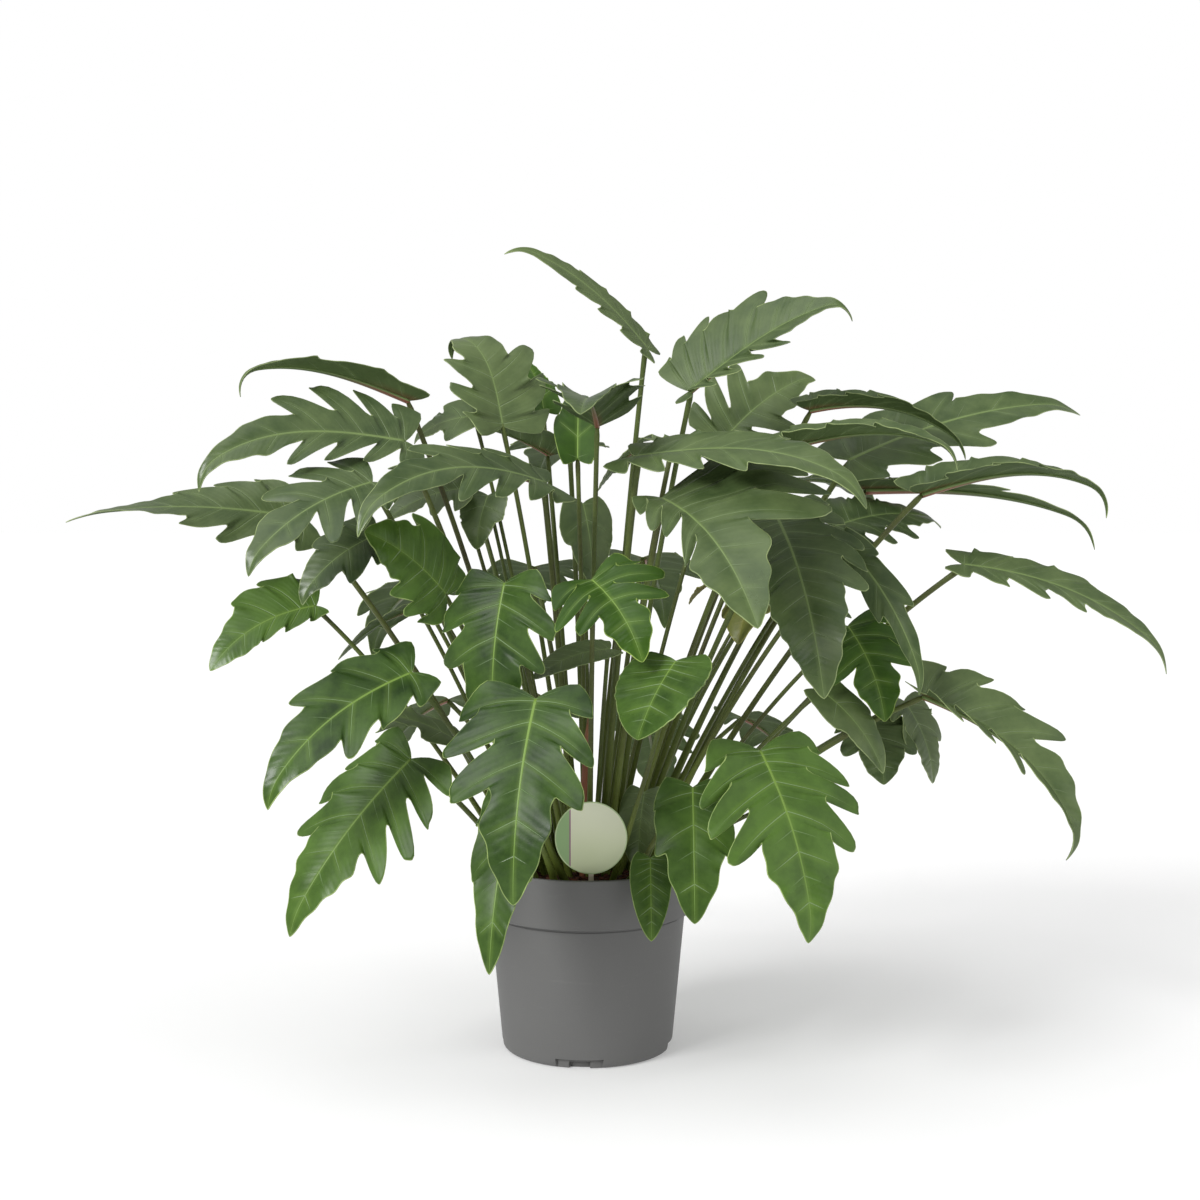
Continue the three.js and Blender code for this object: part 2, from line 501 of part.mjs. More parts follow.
function potSolid() {
  const bandFoot = POT_HEIGHT - BAND_HEIGHT;
  const inner = (radius) => radius - POT_WALL;
  const corner = [0, 30, 60, 90].map((turn) => [
    BASE_RADIUS - BASE_ROUND + BASE_ROUND * Math.sin(radians(turn)),
    BASE_ROUND - BASE_ROUND * Math.cos(radians(turn)),
  ]);
  const profile = [
    [0, 0],
    ...corner,
    [BODY_RADIUS, bandFoot - 1.5],
    [BAND_FOOT_RADIUS, bandFoot],
    [RIM_RADIUS, POT_HEIGHT - 1.5],
    [RIM_RADIUS - 0.8, POT_HEIGHT],
    [RIM_RADIUS - RIM_LIP + 0.8, POT_HEIGHT],
    [RIM_RADIUS - RIM_LIP, POT_HEIGHT - 1.5],
    [inner(BAND_FOOT_RADIUS) - 1.5, bandFoot + 4],
    [inner(BODY_RADIUS), bandFoot - 5],
    [inner(BASE_RADIUS), DRAIN_HEIGHT + FLOOR_THICKNESS + 3],
    [inner(BASE_RADIUS) - 3, DRAIN_HEIGHT + FLOOR_THICKNESS],
    [0, DRAIN_HEIGHT + FLOOR_THICKNESS],
  ];
  let pot = latheSolid(profile, POT_SIDES);
  for (let i = 0; i < NOTCHES; i++) {
    const turn = new THREE.Matrix4().makeRotationZ(radians(NOTCH_TURN + (360 * i) / NOTCHES));
    const shallow = new THREE.Matrix4().makeTranslation(0, -BASE_RADIUS, 0).premultiply(turn);
    pot = pot.subtract(boxSolid(NOTCH_WIDTH, NOTCH_DEPTH * 2 + 6, NOTCH_HEIGHT * 2, shallow));
    pot = pot.subtract(boxSolid(DRAIN_WIDTH, (DRAIN_DEPTH + 3) * 2, DRAIN_HEIGHT * 2, shallow));
  }
  return pot;
}

// A plug of soil that fills the pot, level round the crown and uneven where it falls to the rim.
function soilSolid() {
  const bandFoot = POT_HEIGHT - BAND_HEIGHT;
  const wall = POT_WALL + CLEARANCE;
  const bottom = DRAIN_HEIGHT + FLOOR_THICKNESS + CLEARANCE;
  const topRadius = RIM_RADIUS - RIM_LIP - CLEARANCE - 0.9;
  const profile = [
    [0, bottom],
    [BASE_RADIUS - wall - 3.5, bottom],
    [BASE_RADIUS - wall - 0.4, bottom + 3.5],
    [BODY_RADIUS - wall - 0.4, bandFoot - 5],
    [BAND_FOOT_RADIUS - wall - 2, bandFoot + 4],
    [topRadius, SOIL_LEVEL - SOIL_EDGE_DROP],
    [(topRadius + SOIL_TOP_RADIUS) / 2, SOIL_LEVEL - SOIL_EDGE_DROP / 3],
    [SOIL_TOP_RADIUS, SOIL_LEVEL],
    [0, SOIL_LEVEL],
  ];
  const points = profile.map(([radius, height]) => new THREE.Vector2(radius, height));
  const geometry = new THREE.LatheGeometry(points, SOIL_SIDES).rotateX(Math.PI / 2);
  geometry.deleteAttribute("normal");
  geometry.deleteAttribute("uv");
  const merged = mergeVertices(geometry, 1e-3);
  const position = merged.attributes.position;
  for (let i = 0; i < position.count; i++) {
    const height = position.getZ(i);
    const onEdge = height < SOIL_LEVEL - 0.1 && height > SOIL_LEVEL - SOIL_EDGE_DROP - 0.1;
    if (onEdge) position.setZ(i, height + SOIL_ROUGHNESS * (2 * draw(i, 7) - 1));
  }
  return solidOf(merged);
}

// A slim spindle on a straight axis from under the soil to its point.
function sheathSolid(axis) {
  const length = axis.getLength();
  const profile = [
    [0, 0],
    [0.55, 0],
    [0.85, 0.45],
    [1, 0.66],
    [0.75, 0.85],
    [0, 1],
  ].map(([radius, height]) => [radius * SHEATH_RADIUS, height * length]);
  const turn = new THREE.Quaternion().setFromUnitVectors(new THREE.Vector3(0, 0, 1), axis.getTangent(0));
  const place = new THREE.Matrix4().compose(axis.getPoint(0), turn, new THREE.Vector3(1, 1, 1));
  return latheSolid(profile, SHEATH_SIDES, place);
}

// A bare round plant tag, cut in one piece with its pointed stake.
function tagOutline(grow) {
  const half = TAG_STAKE_WIDTH / 2 + grow;
  const outline = new THREE.Shape();
  const start = Math.acos(half / TAG_RADIUS);
  outline.absarc(0, 0, TAG_RADIUS, -start, Math.PI + start, false);
  outline.lineTo(-half, -TAG_STAKE_LENGTH + 8);
  outline.lineTo(0, -TAG_STAKE_LENGTH - grow);
  outline.lineTo(half, -TAG_STAKE_LENGTH + 8);
  return outline;
}

function tagSolid(grow) {
  const depth = TAG_THICKNESS + 2 * grow;
  const options = { depth, bevelEnabled: false, curveSegments: TAG_SEGMENTS };
  const geometry = new THREE.ExtrudeGeometry(tagOutline(grow), options);
  geometry.translate(0, 0, -depth / 2).rotateX(Math.PI / 2);
  return solidOf(geometry.translate(...TAG_CENTRE));
}

function buildPlant() {
  const plant = new THREE.Group();
  const leaves = readLeaves();
  const feet = feetOf([...leaves, { name: "next_leaf_sheath", collar: SHEATH_TIP }]);
  const sheathFoot = rootAt(feet.get("next_leaf_sheath"));
  const sheathAxis = new THREE.LineCurve3(sheathFoot, SHEATH_TIP);
  let soil = soilSolid().subtract(tagSolid(CLEARANCE));
  soil = soil.subtract(holeSolid(sheathAxis, SHEATH_RADIUS * 0.62));
  const pieces = new Map();
  for (const leaf of leaves) {
    const path = stalkPath(leaf, leaf.rib, feet.get(leaf.name));
    const radius = stalkRadius(leaf);
    const stalk = tubeSolid(path, radius, STALK_SIDES, STALK_STEPS);
    const grown = bladeSolid(leaf, leaf.rib).add(stalk);
    const before = pieces.get(leaf.name);
    pieces.set(leaf.name, { solid: before ? before.solid.add(grown) : grown, tone: leaf.tone });
    soil = soil.subtract(holeSolid(path, radius));
  }
  plant.add(meshOf("pot", potSolid(), 0x6b6b69, 0.55));
  plant.add(meshOf("soil", soil, 0x3a241a, 0.95));
  plant.add(meshOf("plant_tag", tagSolid(0), 0xc9dba0, 0.35));
  plant.add(meshOf("next_leaf_sheath", sheathSolid(sheathAxis), 0xa5533f, 0.45));
  for (const [name, { solid, tone }] of pieces) plant.add(meshOf(name, solid, GREENS[tone], 0.42));
  return plant;
}

// The plain straight hole that a stalk stands in, from just under its foot to clear of the soil.
function holeSolid(path, radius) {
  const root = path.getPoint(0);
  const climb = path.getPoint(1).z - root.z;
  const above = path.getPoint(Math.min(0.6, (ROOT_DEPTH + 6) / climb));
  const bottom = root.addScaledVector(path.getTangent(0), -CLEARANCE);
  const bore = (radius + HOLE_CLEARANCE) / Math.cos(Math.PI / HOLE_SIDES);
  return tubeSolid(new THREE.LineCurve3(bottom, above), bore, HOLE_SIDES, 1);
}

export default buildPlant();
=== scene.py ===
import math
from functools import partial
import bpy
import numpy as np
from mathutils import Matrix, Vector


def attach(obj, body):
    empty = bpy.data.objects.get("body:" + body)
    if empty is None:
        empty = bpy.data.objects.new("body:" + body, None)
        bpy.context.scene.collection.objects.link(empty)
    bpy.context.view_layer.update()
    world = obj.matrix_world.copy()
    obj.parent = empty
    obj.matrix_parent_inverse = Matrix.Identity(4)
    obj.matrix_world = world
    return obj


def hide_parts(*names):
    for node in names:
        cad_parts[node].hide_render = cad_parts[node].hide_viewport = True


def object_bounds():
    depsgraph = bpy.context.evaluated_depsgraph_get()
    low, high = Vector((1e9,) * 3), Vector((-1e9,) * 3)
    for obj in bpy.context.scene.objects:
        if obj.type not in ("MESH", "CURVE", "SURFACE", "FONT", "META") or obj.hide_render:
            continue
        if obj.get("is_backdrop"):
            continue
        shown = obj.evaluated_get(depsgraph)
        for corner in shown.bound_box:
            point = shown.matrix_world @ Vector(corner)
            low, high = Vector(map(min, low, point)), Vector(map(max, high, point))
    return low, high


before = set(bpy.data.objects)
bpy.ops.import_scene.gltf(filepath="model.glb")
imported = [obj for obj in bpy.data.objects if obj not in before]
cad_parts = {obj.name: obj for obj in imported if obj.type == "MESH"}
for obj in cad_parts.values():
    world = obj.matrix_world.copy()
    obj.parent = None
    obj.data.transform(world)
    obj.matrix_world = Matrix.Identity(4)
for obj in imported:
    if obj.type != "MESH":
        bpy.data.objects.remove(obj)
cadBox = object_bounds()
mm = 0.001
tau = 2 * math.pi
eased = {"interpolation_type": "SMOOTHSTEP"}
print("frame loaded:", len(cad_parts), "nodes")


def toLinear(hexColour):
    # sRGB hex to linear: below 0.04045 a straight line, above it a power of 2.4
    values = [int(hexColour[i:i + 2], 16) / 255 for i in (1, 3, 5)]
    return [v / 12.92 if v <= 0.04045 else ((v + 0.055) / 1.055) ** 2.4 for v in values] + [1.0]


def addNode(tree, kind, inputs=None, **settings):
    # an input takes a plain value, another node's output, or a node, which stands for its first output
    node = tree.nodes.new("ShaderNode" + kind)
    for key, value in settings.items():
        setattr(node, key, value)
    for key, value in (inputs or {}).items():
        if isinstance(value, bpy.types.Node):
            value = next(socket for socket in value.outputs if socket.enabled)
        if isinstance(value, bpy.types.NodeSocket):
            tree.links.new(value, node.inputs[key])
        else:
            node.inputs[key].default_value = value
    return node


def newMaterial(name):
    # an empty material, and addNode for its own tree
    material = bpy.data.materials.new(name)
    material.use_nodes = True
    material.node_tree.nodes.clear()
    return material, partial(addNode, material.node_tree)


def paintOver(add, ground, layers):
    # lays colours over a ground colour: for each a mask, its strength and the colour
    body = toLinear(ground)
    for mask, strength, colour in layers:
        factor = add("Math", {0: mask, 1: strength}, operation="MULTIPLY")
        body = add("Mix", {0: factor, 6: body, 7: toLinear(colour)}, data_type="RGBA")
    return body


def closeMaterial(add, surface):
    # one Principled surface: what is plain is set on its own sockets, and the rest is linked
    add("OutputMaterial", {"Surface": add("BsdfPrincipled", surface)})


def draw(seed, index):
    # the fraction left of a large multiple of a sine: the same draw for the same seed and index
    x = np.sin(seed * 12.9898 + np.asarray(index, float) * 78.233) * 43758.5453
    return x - np.floor(x)


def unit(v):
    # a vector over its length
    return v / np.maximum(np.linalg.norm(v, axis=-1, keepdims=True), 1e-12)


def smooth(x):
    # 3 x^2 - 2 x^3, held at 0 and 1 outside
    x = np.clip(x, 0, 1)
    return x * x * (3 - 2 * x)


def around(sides):
    # even turns round a circle, in radians
    return np.linspace(0, tau, sides, endpoint=False)


def patchyNoise(x, y, cell, seed):
    # random heights from -1 to 1 on a square lattice, eased from one lattice point to the next
    x, y = x / cell, y / cell
    ix, iy = np.floor(x), np.floor(y)
    fx, fy = smooth(x - ix), smooth(y - iy)
    corner = lambda a, b: 2 * draw(seed + 0.37 * (ix + a), (iy + b) * 1.7) - 1
    low = corner(0, 0) * (1 - fx) + corner(1, 0) * fx
    high = corner(0, 1) * (1 - fx) + corner(1, 1) * fx
    return low * (1 - fy) + high * fy


def gridTriangles(rows, columns, flipped=False, wrapped=False):
    # two triangles for each cell of a grid, which closes on itself across if it is wrapped
    i, j = np.meshgrid(np.arange(rows - 1), np.arange(columns if wrapped else columns - 1), indexing="ij")
    a = i * columns + j
    b = i * columns + (j + 1) % columns
    triangles = np.stack([a, b, b + columns, a, b + columns, a + columns], axis=-1).reshape(-1, 3)
    return triangles[:, ::-1] if flipped else triangles


def gridPatch(points, slot=0, flipped=False, wrapped=True, **marks):
    # a grid of points in mm; marks are three numbers for each, kept for each corner of each face
    triangles = gridTriangles(*points.shape[:2], flipped, wrapped)
    patch = {"points": points.reshape(-1, 3) * mm, "triangles": triangles, "slot": slot}
    for key, mark in marks.items():
        patch[key] = np.broadcast_to(mark, points.shape).reshape(-1, 3)[triangles]
    return patch


def threeMarks(*marks):
    # three numbers for each point of a grid
    return np.stack(np.broadcast_arrays(*marks), axis=-1)


def tubePatch(path, side, wide, high, sides, slot=0, **marks):
    # a section of half-axes wide and high carried along the path, level with the side direction;
    # the end rows have no width, so the tube closes to a point at both ends
    tangent = unit(np.gradient(path, axis=0))
    side = np.broadcast_to(side, path.shape)
    path, tangent, side = (np.concatenate([line[:1], line, line[-1:]]) for line in (path, tangent, side))
    wide, high = (np.concatenate([[0], np.broadcast_to(r, len(path) - 2), [0]]) for r in (wide, high))
    side = unit(side - np.sum(side * tangent, axis=-1, keepdims=True) * tangent)
    over = np.cross(tangent, side)
    turn = around(sides)
    points = path[:, None] + (wide[:, None] * np.cos(turn))[..., None] * side[:, None]
    points = points + (high[:, None] * np.sin(turn))[..., None] * over[:, None]
    return gridPatch(points, slot, **marks)


def buildPiece(name, patches, materials, node, sharpFrom=None):
    # joins the patches, merges points that coincide and drops the faces that closes up; edges that
    # turn by more than sharpFrom degrees stay sharp
    starts = np.cumsum([0] + [len(p["points"]) for p in patches[:-1]])
    points = np.concatenate([p["points"] for p in patches])
    triangles = np.concatenate([p["triangles"] + start for p, start in zip(patches, starts)])
    slots = np.concatenate([np.full(len(p["triangles"]), p["slot"]) for p in patches])
    _, first, inverse = np.unique(np.round(points * 1e6), axis=0, return_index=True, return_inverse=True)
    corners = inverse.reshape(-1)[triangles]
    kept = (corners != np.roll(corners, 1, axis=1)).all(axis=1)
    mesh = bpy.data.meshes.new(name)
    mesh.from_pydata(points[first], [], corners[kept], shade_flat=False)
    mesh.polygons.foreach_set("material_index", slots[kept].astype(np.int32))
    for key in ("leafPlace", "leafEdge"):
        if key in patches[0]:
            values = np.concatenate([p[key] for p in patches])[kept]
            made = mesh.attributes.new(key, "FLOAT_VECTOR", "CORNER")
            made.data.foreach_set("vector", values.astype(np.float32).ravel())
    for material in materials:
        mesh.materials.append(material)
    mesh.update()
    if sharpFrom:
        mesh.set_sharp_from_angle(angle=math.radians(sharpFrom))
    piece = bpy.data.objects.new(name, mesh)
    bpy.context.scene.collection.objects.link(piece)
    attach(piece, "root")
    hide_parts(node)
    return piece


view = {"place": (0.0125, -1.8, 0.54), "lens": 54, "sensor": 36, "shift": -0.0804}
lamps = {
    # where it stands, watts per square metre, apparent width in degrees
    "keyLight": ((-2.0, -2.0, 2.1), 2.1, 22),   # softbox on the left in front
    "topLight": ((-0.8, -0.6, 3.0), 0.9, 50),   # wide one overhead
    "fillLight": ((2.5, -1.2, 1.8), 0.5, 50),   # weak one on the right
}
surroundings = {
    "aim": (0, 0, 0.4),             # what the lamps point at
    "floorSize": 60,
    "floorColour": "#dddddd",
    "floorGlow": 0.26,              # keeps the board white far from the plant
    "white": "#ffffff",
    "fill": 0.45,                   # share of the room's white that reaches the plant
}

camera = bpy.data.objects.new("camera", bpy.data.cameras.new("camera"))
camera.location = view["place"]
camera.rotation_euler = (math.radians(90), 0, 0)  # level, with the picture shifted down instead
camera.data.shift_y = view["shift"]
camera.data.lens = view["lens"]
camera.data.sensor_width = view["sensor"]
bpy.context.scene.collection.objects.link(camera)
bpy.context.scene.camera = camera
bpy.context.scene.view_settings.view_transform = "Standard"

for name, (place, power, width) in lamps.items():
    light = bpy.data.lights.new(name, "SUN")
    light.energy = power
    light.angle = math.radians(width)
    lamp = bpy.data.objects.new(name, light)
    lamp.location = place
    lamp.rotation_euler = (Vector(surroundings["aim"]) - Vector(place)).to_track_quat("-Z", "Y").to_euler()
    bpy.context.scene.collection.objects.link(lamp)

# white room: it looks white and lights the plant a little less than that
world = bpy.data.worlds.new("paleStudio")
world.use_nodes = True
shown = world.node_tree.nodes["Background"]
shown.inputs["Color"].default_value = toLinear(surroundings["white"])
addToWorld = partial(addNode, world.node_tree)
seen = addToWorld("LightPath").outputs["Is Camera Ray"]
strength = addToWorld("MapRange", {"Value": seen, "To Min": surroundings["fill"], "To Max": 1.0})
world.node_tree.links.new(strength.outputs[0], shown.inputs["Strength"])
bpy.context.scene.world = world

# matt painted board: rough and nearly white, so that only a soft shadow shows on it
floorMaterial, addToFloor = newMaterial("mattWhiteBoard")
closeMaterial(addToFloor, {
    "Base Color": toLinear(surroundings["floorColour"]), "Roughness": 0.9,
    "Emission Color": toLinear(surroundings["white"]), "Emission Strength": surroundings["floorGlow"],
})
half = surroundings["floorSize"] / 2
floorMesh = bpy.data.meshes.new("floor")
floorCorners = [(-half, -half, 0), (half, -half, 0), (half, half, 0), (-half, half, 0)]
floorMesh.from_pydata(floorCorners, [], [(0, 1, 2, 3)])
floorMesh.materials.append(floorMaterial)
floor = bpy.data.objects.new("floor", floorMesh)
bpy.context.scene.collection.objects.link(floor)
floor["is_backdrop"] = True
print("camera, lights and floor done")


# Living leaf: a waxy skin over green flesh. The wax gives a soft broken gloss, side veins lie in pale
# shallow furrows, and the margin has a thin yellow-green line, partly its own paler rim and partly a painted
# highlight on the curled edge.
leafKinds = {
    "mature": {
        "deep": "#3a4d28", "light": "#5e6f42", "underDeep": "#3b4d26", "underLight": "#52643a",
        "vein": "#7b9155", "side": "#8c9d76", "edge": "#9dad74",
        "veinShow": 0.5, "rough": 0.2, "shine": 0.45,
    },
    "fresh": {
        "deep": "#20370f", "light": "#4e6c2a", "underDeep": "#475b24", "underLight": "#5c703a",
        "vein": "#7c9a42", "side": "#8fa87c", "edge": "#a8bc74",
        "veinShow": 0.65, "rough": 0.16, "shine": 0.3,
    },
    "young": {
        "deep": "#2d4812", "light": "#44661e", "underDeep": "#527424", "underLight": "#688834",
        "vein": "#86a44a", "side": "#92b070", "edge": "#a4bc62",
        "veinShow": 0.5, "rough": 0.15, "shine": 0.25,
    },
    "olive": {
        "deep": "#565c24", "light": "#6f7534", "underDeep": "#5c5c2c", "underLight": "#77743c",
        "vein": "#9c9450", "side": "#9c9450", "edge": "#a8a258",
        "veinShow": 0.5, "rough": 0.28, "shine": 0.45,
    },
}
skin = {
    "patches": 28.0,        # noise cells a metre in the patches of the two greens
    "patchContrast": 1.9,
    "ownTone": 0.7,         # how far a leaf's own paleness lightens the patches
    "grain": 1.4,           # mm across a bump of the skin
    "grainHeight": 0.03,    # mm
    "dullFoot": 0.2,        # more roughness beside the stalk
    "dullTo": 0.4,          # share of the midrib where that starts to fade
    "shinyFrom": 0.85,      # and where none of it is left
    "underRough": 0.24,     # more roughness on the underside
    "roughPatches": 0.16,   # and what the patches add
    "underShine": 0.25,
    "flush": "#74402f",     # under the midrib's start
    "flushWide": 9.0,       # mm to each side of the midrib
    "flushLong": 0.3,       # share of the midrib
    "ribFlush": "#83543f",
    "ior": 1.45,
}
veins = {
    "halfWidth": 0.9,       # mm at the midrib
    "atMargin": 0.3,        # mm at the margin
    # place after a lobe's point, strength, and shares of the way out where they end and start to fade
    "main": (0, 1.0, 0.95, 0.4),
    "between": (0.5, 0.5, 0.7, 0.2),
    "tipFull": 0.8,         # share of the midrib where all veins start to fade
    "tipGone": 0.94,        # and where none is left
    "furrow": 0.45,         # mm deep
    "finePerLobe": 7,       # fine parallel veins between two main ones
    "fineWander": 9.0,      # how far a noise shifts them, in radians
    "fine": 0.035,          # mm high
    "margin": 1.0,          # mm wide
    "marginShow": 0.8,
    "halo": 6.0,            # mm that a vein's paler green spreads to each side
    "haloShow": 0.16,
    "ribHalo": 4.5,         # the same at the midrib
    "ribHaloShow": 0.15,
    "lobeShare": 0.72,      # share of a lobe's way along the outline where its vein ends
}


def leafMarks(add):
    # what a blade's corners hold: place along the outline in lobes, mm from one lobe to the next, mm
    # from the midrib; mm to the margin, share of the midrib's length and the leaf's own paleness
    held = [add("Attribute", attribute_name=name).outputs["Vector"] for name in ("leafPlace", "leafEdge")]
    return [[*add("SeparateXYZ", {0: vector}).outputs] for vector in held]


def veinLines(add, place, pitch, out, along):
    # main veins run to each lobe's point, and weaker ones lie between them; the share of the way out
    # narrows and fades both, and paler green spreads to the sides of the main ones
    width = add("MapRange", {"Value": out, "To Min": veins["halfWidth"], "To Max": veins["atMargin"]})
    nearTip = {"Value": along, "From Min": veins["tipGone"], "From Max": veins["tipFull"]}
    nearTip = add("MapRange", nearTip, **eased)
    drawn = []
    for shift, strength, gone, full in (veins["main"], veins["between"]):
        shifted = add("Math", {0: place, 1: 1 - veins["lobeShare"] + shift}, operation="ADD")
        apart = add("Math", {0: shifted, 1: 0.5}, operation="PINGPONG")
        apart = add("Math", {0: apart, 1: pitch}, operation="MULTIPLY")
        most = add("Math", {0: nearTip, 1: strength}, operation="MULTIPLY")
        shown = add("MapRange", {"Value": out, "From Min": gone, "From Max": full, "To Max": most}, **eased)
        line = add("MapRange", {"Value": apart, "From Min": width, "From Max": 0.0, "To Max": shown}, **eased)
        drawn.append((line, apart, shown))
    (main, apart, shown), (between, _, _) = drawn
    halo = {"Value": apart, "From Min": veins["halo"], "From Max": 0.5, "To Max": shown}
    return main, between, add("MapRange", halo, **eased)


def leafBump(add, where, blotch, place, lines, under):
    # side veins lie in furrows above and stand out below, with fine parallel veins between them, broken
    # up by a noise along the outline, and the skin's own grain over it all; mm
    grain = add("TexNoise", {"Vector": where, "Scale": 500 / skin["grain"], "Detail": 2.0})
    fine = add("Math", {0: place, 1: tau * veins["finePerLobe"]}, operation="MULTIPLY")
    fine = add("Math", {0: blotch, 1: veins["fineWander"], 2: fine}, operation="MULTIPLY_ADD")
    fine = add("Math", {0: fine}, operation="SINE")
    height = add("Math", {0: lines[0], 1: lines[1]}, operation="ADD")
    height = add("Math", {0: height, 1: veins["furrow"] * (1 if under else -1)}, operation="MULTIPLY")
    height = add("Math", {0: fine, 1: veins["fine"], 2: height}, operation="MULTIPLY_ADD")
    height = add("Math", {0: grain, 1: skin["grainHeight"], 2: height}, operation="MULTIPLY_ADD")
    return add("Bump", {"Strength": 1.0, "Distance": mm, "Height": height})


def leafSurface(kind, under=False):
    # greens, then veins, midrib, flush and margin over them, under a skin of wax
    look = leafKinds[kind]
    material, add = newMaterial(("waxyLeafUnderside_" if under else "waxyLeaf_") + kind)
    (place, pitch, fromRib), (toMargin, along, ownPale) = leafMarks(add)
    where = add("TexCoord").outputs["Object"]
    blotch = add("TexNoise", {"Vector": where, "Scale": skin["patches"], "Detail": 6.0, "Roughness": 0.62})
    whole = add("Math", {0: fromRib, 1: toMargin}, operation="ADD")
    out = add("Math", {0: fromRib, 1: whole}, operation="DIVIDE")
    *lines, halo = veinLines(add, place, pitch, out, along)
    ribHalo = add("MapRange", {"Value": fromRib, "From Min": veins["ribHalo"], "From Max": 1.0}, **eased)
    # the margin's pale line: partly the rim's own paler green, partly a painted highlight along the curled
    # edge
    uneven = add("MapRange", {"Value": blotch, "From Min": 0.35, "From Max": 0.6, "To Min": 0.25})
    wide = veins["margin"]
    margin = {"Value": toMargin, "From Min": wide, "From Max": wide * 0.4, "To Max": uneven}
    margin = add("MapRange", margin, **eased)
    # two greens in soft patches, each leaf a little its own
    patch = add("Math", {0: ownPale, 1: skin["ownTone"], 2: -0.8}, operation="MULTIPLY_ADD")
    patch = {0: blotch, 1: skin["patchContrast"], 2: patch}
    patch = add("Math", patch, operation="MULTIPLY_ADD", use_clamp=True)
    deep, light = ("underDeep", "underLight") if under else ("deep", "light")
    layers = [
        (patch, 1.0, look[light]), (halo, veins["haloShow"], look["vein"]),
        (ribHalo, veins["ribHaloShow"], look["vein"]),
    ]
    layers += [(line, look["veinShow"], look["side"]) for line in lines]
    if under:
        # a reddish flush where the midrib starts
        start = {"Value": along, "From Min": skin["flushLong"], "From Max": 0.0, "To Max": 0.5}
        start = add("MapRange", start, **eased)
        red = {"Value": fromRib, "From Min": skin["flushWide"], "From Max": 0.5, "To Max": start}
        layers.append((add("MapRange", red, **eased), 1.0, skin["flush"]))
    layers.append((margin, veins["marginShow"], look["edge"]))
    # the wax is dullest beside the stalk and shines towards the point
    shiny = look["rough"] + (skin["underRough"] if under else 0)
    waxy = add("MapRange", {
        "Value": along, "From Min": skin["dullTo"], "From Max": skin["shinyFrom"],
        "To Min": shiny + skin["dullFoot"], "To Max": shiny,
    }, **eased)
    closeMaterial(add, {
        "Base Color": paintOver(add, look[deep], layers), "IOR": skin["ior"],
        "Specular IOR Level": skin["underShine"] if under else look["shine"],
        "Roughness": add("Math", {0: blotch, 1: skin["roughPatches"], 2: waxy}, operation="MULTIPLY_ADD"),
        "Normal": leafBump(add, where, blotch, place, lines, under),
    })
    return material


def ribSurface(kind):
    # midrib: a smooth pale cord above, brown-green to reddish below, greener towards the leaf's tip
    look = leafKinds[kind]
    material, add = newMaterial("smoothMidrib_" + kind)
    _, (above, along, _) = leafMarks(add)
    where = add("TexCoord").outputs["Object"]
    blotch = add("TexNoise", {"Vector": where, "Scale": 60.0, "Detail": 2.0})
    top = paintOver(add, look["vein"], [(blotch, 0.4, look["light"]), (along, 0.6, look["light"])])
    reddish = add("MapRange", {"Value": along, "From Min": 0.5, "From Max": 0.0}, **eased)
    below = paintOver(add, look["underLight"], [(reddish, 1.0, skin["ribFlush"])])
    facing = add("MapRange", {"Value": above, "From Min": -0.2, "From Max": 0.1}, **eased)
    body = add("Mix", {0: facing, 6: below, 7: top}, data_type="RGBA")
    closeMaterial(add, {"Base Color": body, "IOR": skin["ior"], "Roughness": 0.42})
    return material


def stalkSurface():
    # leaf stalk: firm, smooth and faintly ribbed along its length, green with brown flushes in patches and
    # yellower towards its foot
    material, add = newMaterial("smoothLeafStalk")
    (turn, _, _), (_, along, ownDraw) = leafMarks(add)
    where = add("TexCoord").outputs["Object"]
    blotch = add("TexNoise", {"Vector": where, "Scale": 22.0, "Detail": 4.0})
    speck = add("TexNoise", {"Vector": where, "Scale": 420.0, "Detail": 2.0})
    flush = add("Math", {0: blotch, 1: 1.8, 2: -1.0}, operation="MULTIPLY_ADD")
    flush = add("Math", {0: ownDraw, 1: 0.5, 2: flush}, operation="MULTIPLY_ADD", use_clamp=True)
    foot = add("MapRange", {"Value": along, "From Min": 0.5, "From Max": 0.1}, **eased)
    specks = add("Math", {0: speck, 1: 0.4, 2: -0.15}, operation="MULTIPLY_ADD", use_clamp=True)
    ribs = add("Math", {0: turn, 1: 14.0}, operation="MULTIPLY")
    ribs = add("Math", {0: ribs}, operation="SINE")
    layers = [
        (ownDraw, 1.0, "#58642e"), (flush, 1.0, "#3a3024"), (foot, 0.8, "#66742c"), (specks, 1.0, "#7c8a4c"),
    ]
    closeMaterial(add, {
        "Base Color": paintOver(add, "#4c5a2a", layers), "IOR": skin["ior"], "Roughness": 0.42,
        "Specular IOR Level": 0.3,
        "Normal": add("Bump", {"Strength": 1.0, "Distance": mm * 0.05, "Height": ribs}),
    })
    return material


stalkMaterial = stalkSurface()
leafMaterials = {}
for kind in leafKinds:
    leafMaterials[kind] = [leafSurface(kind), leafSurface(kind, under=True), ribSurface(kind), stalkMaterial]
print("leaf materials done")
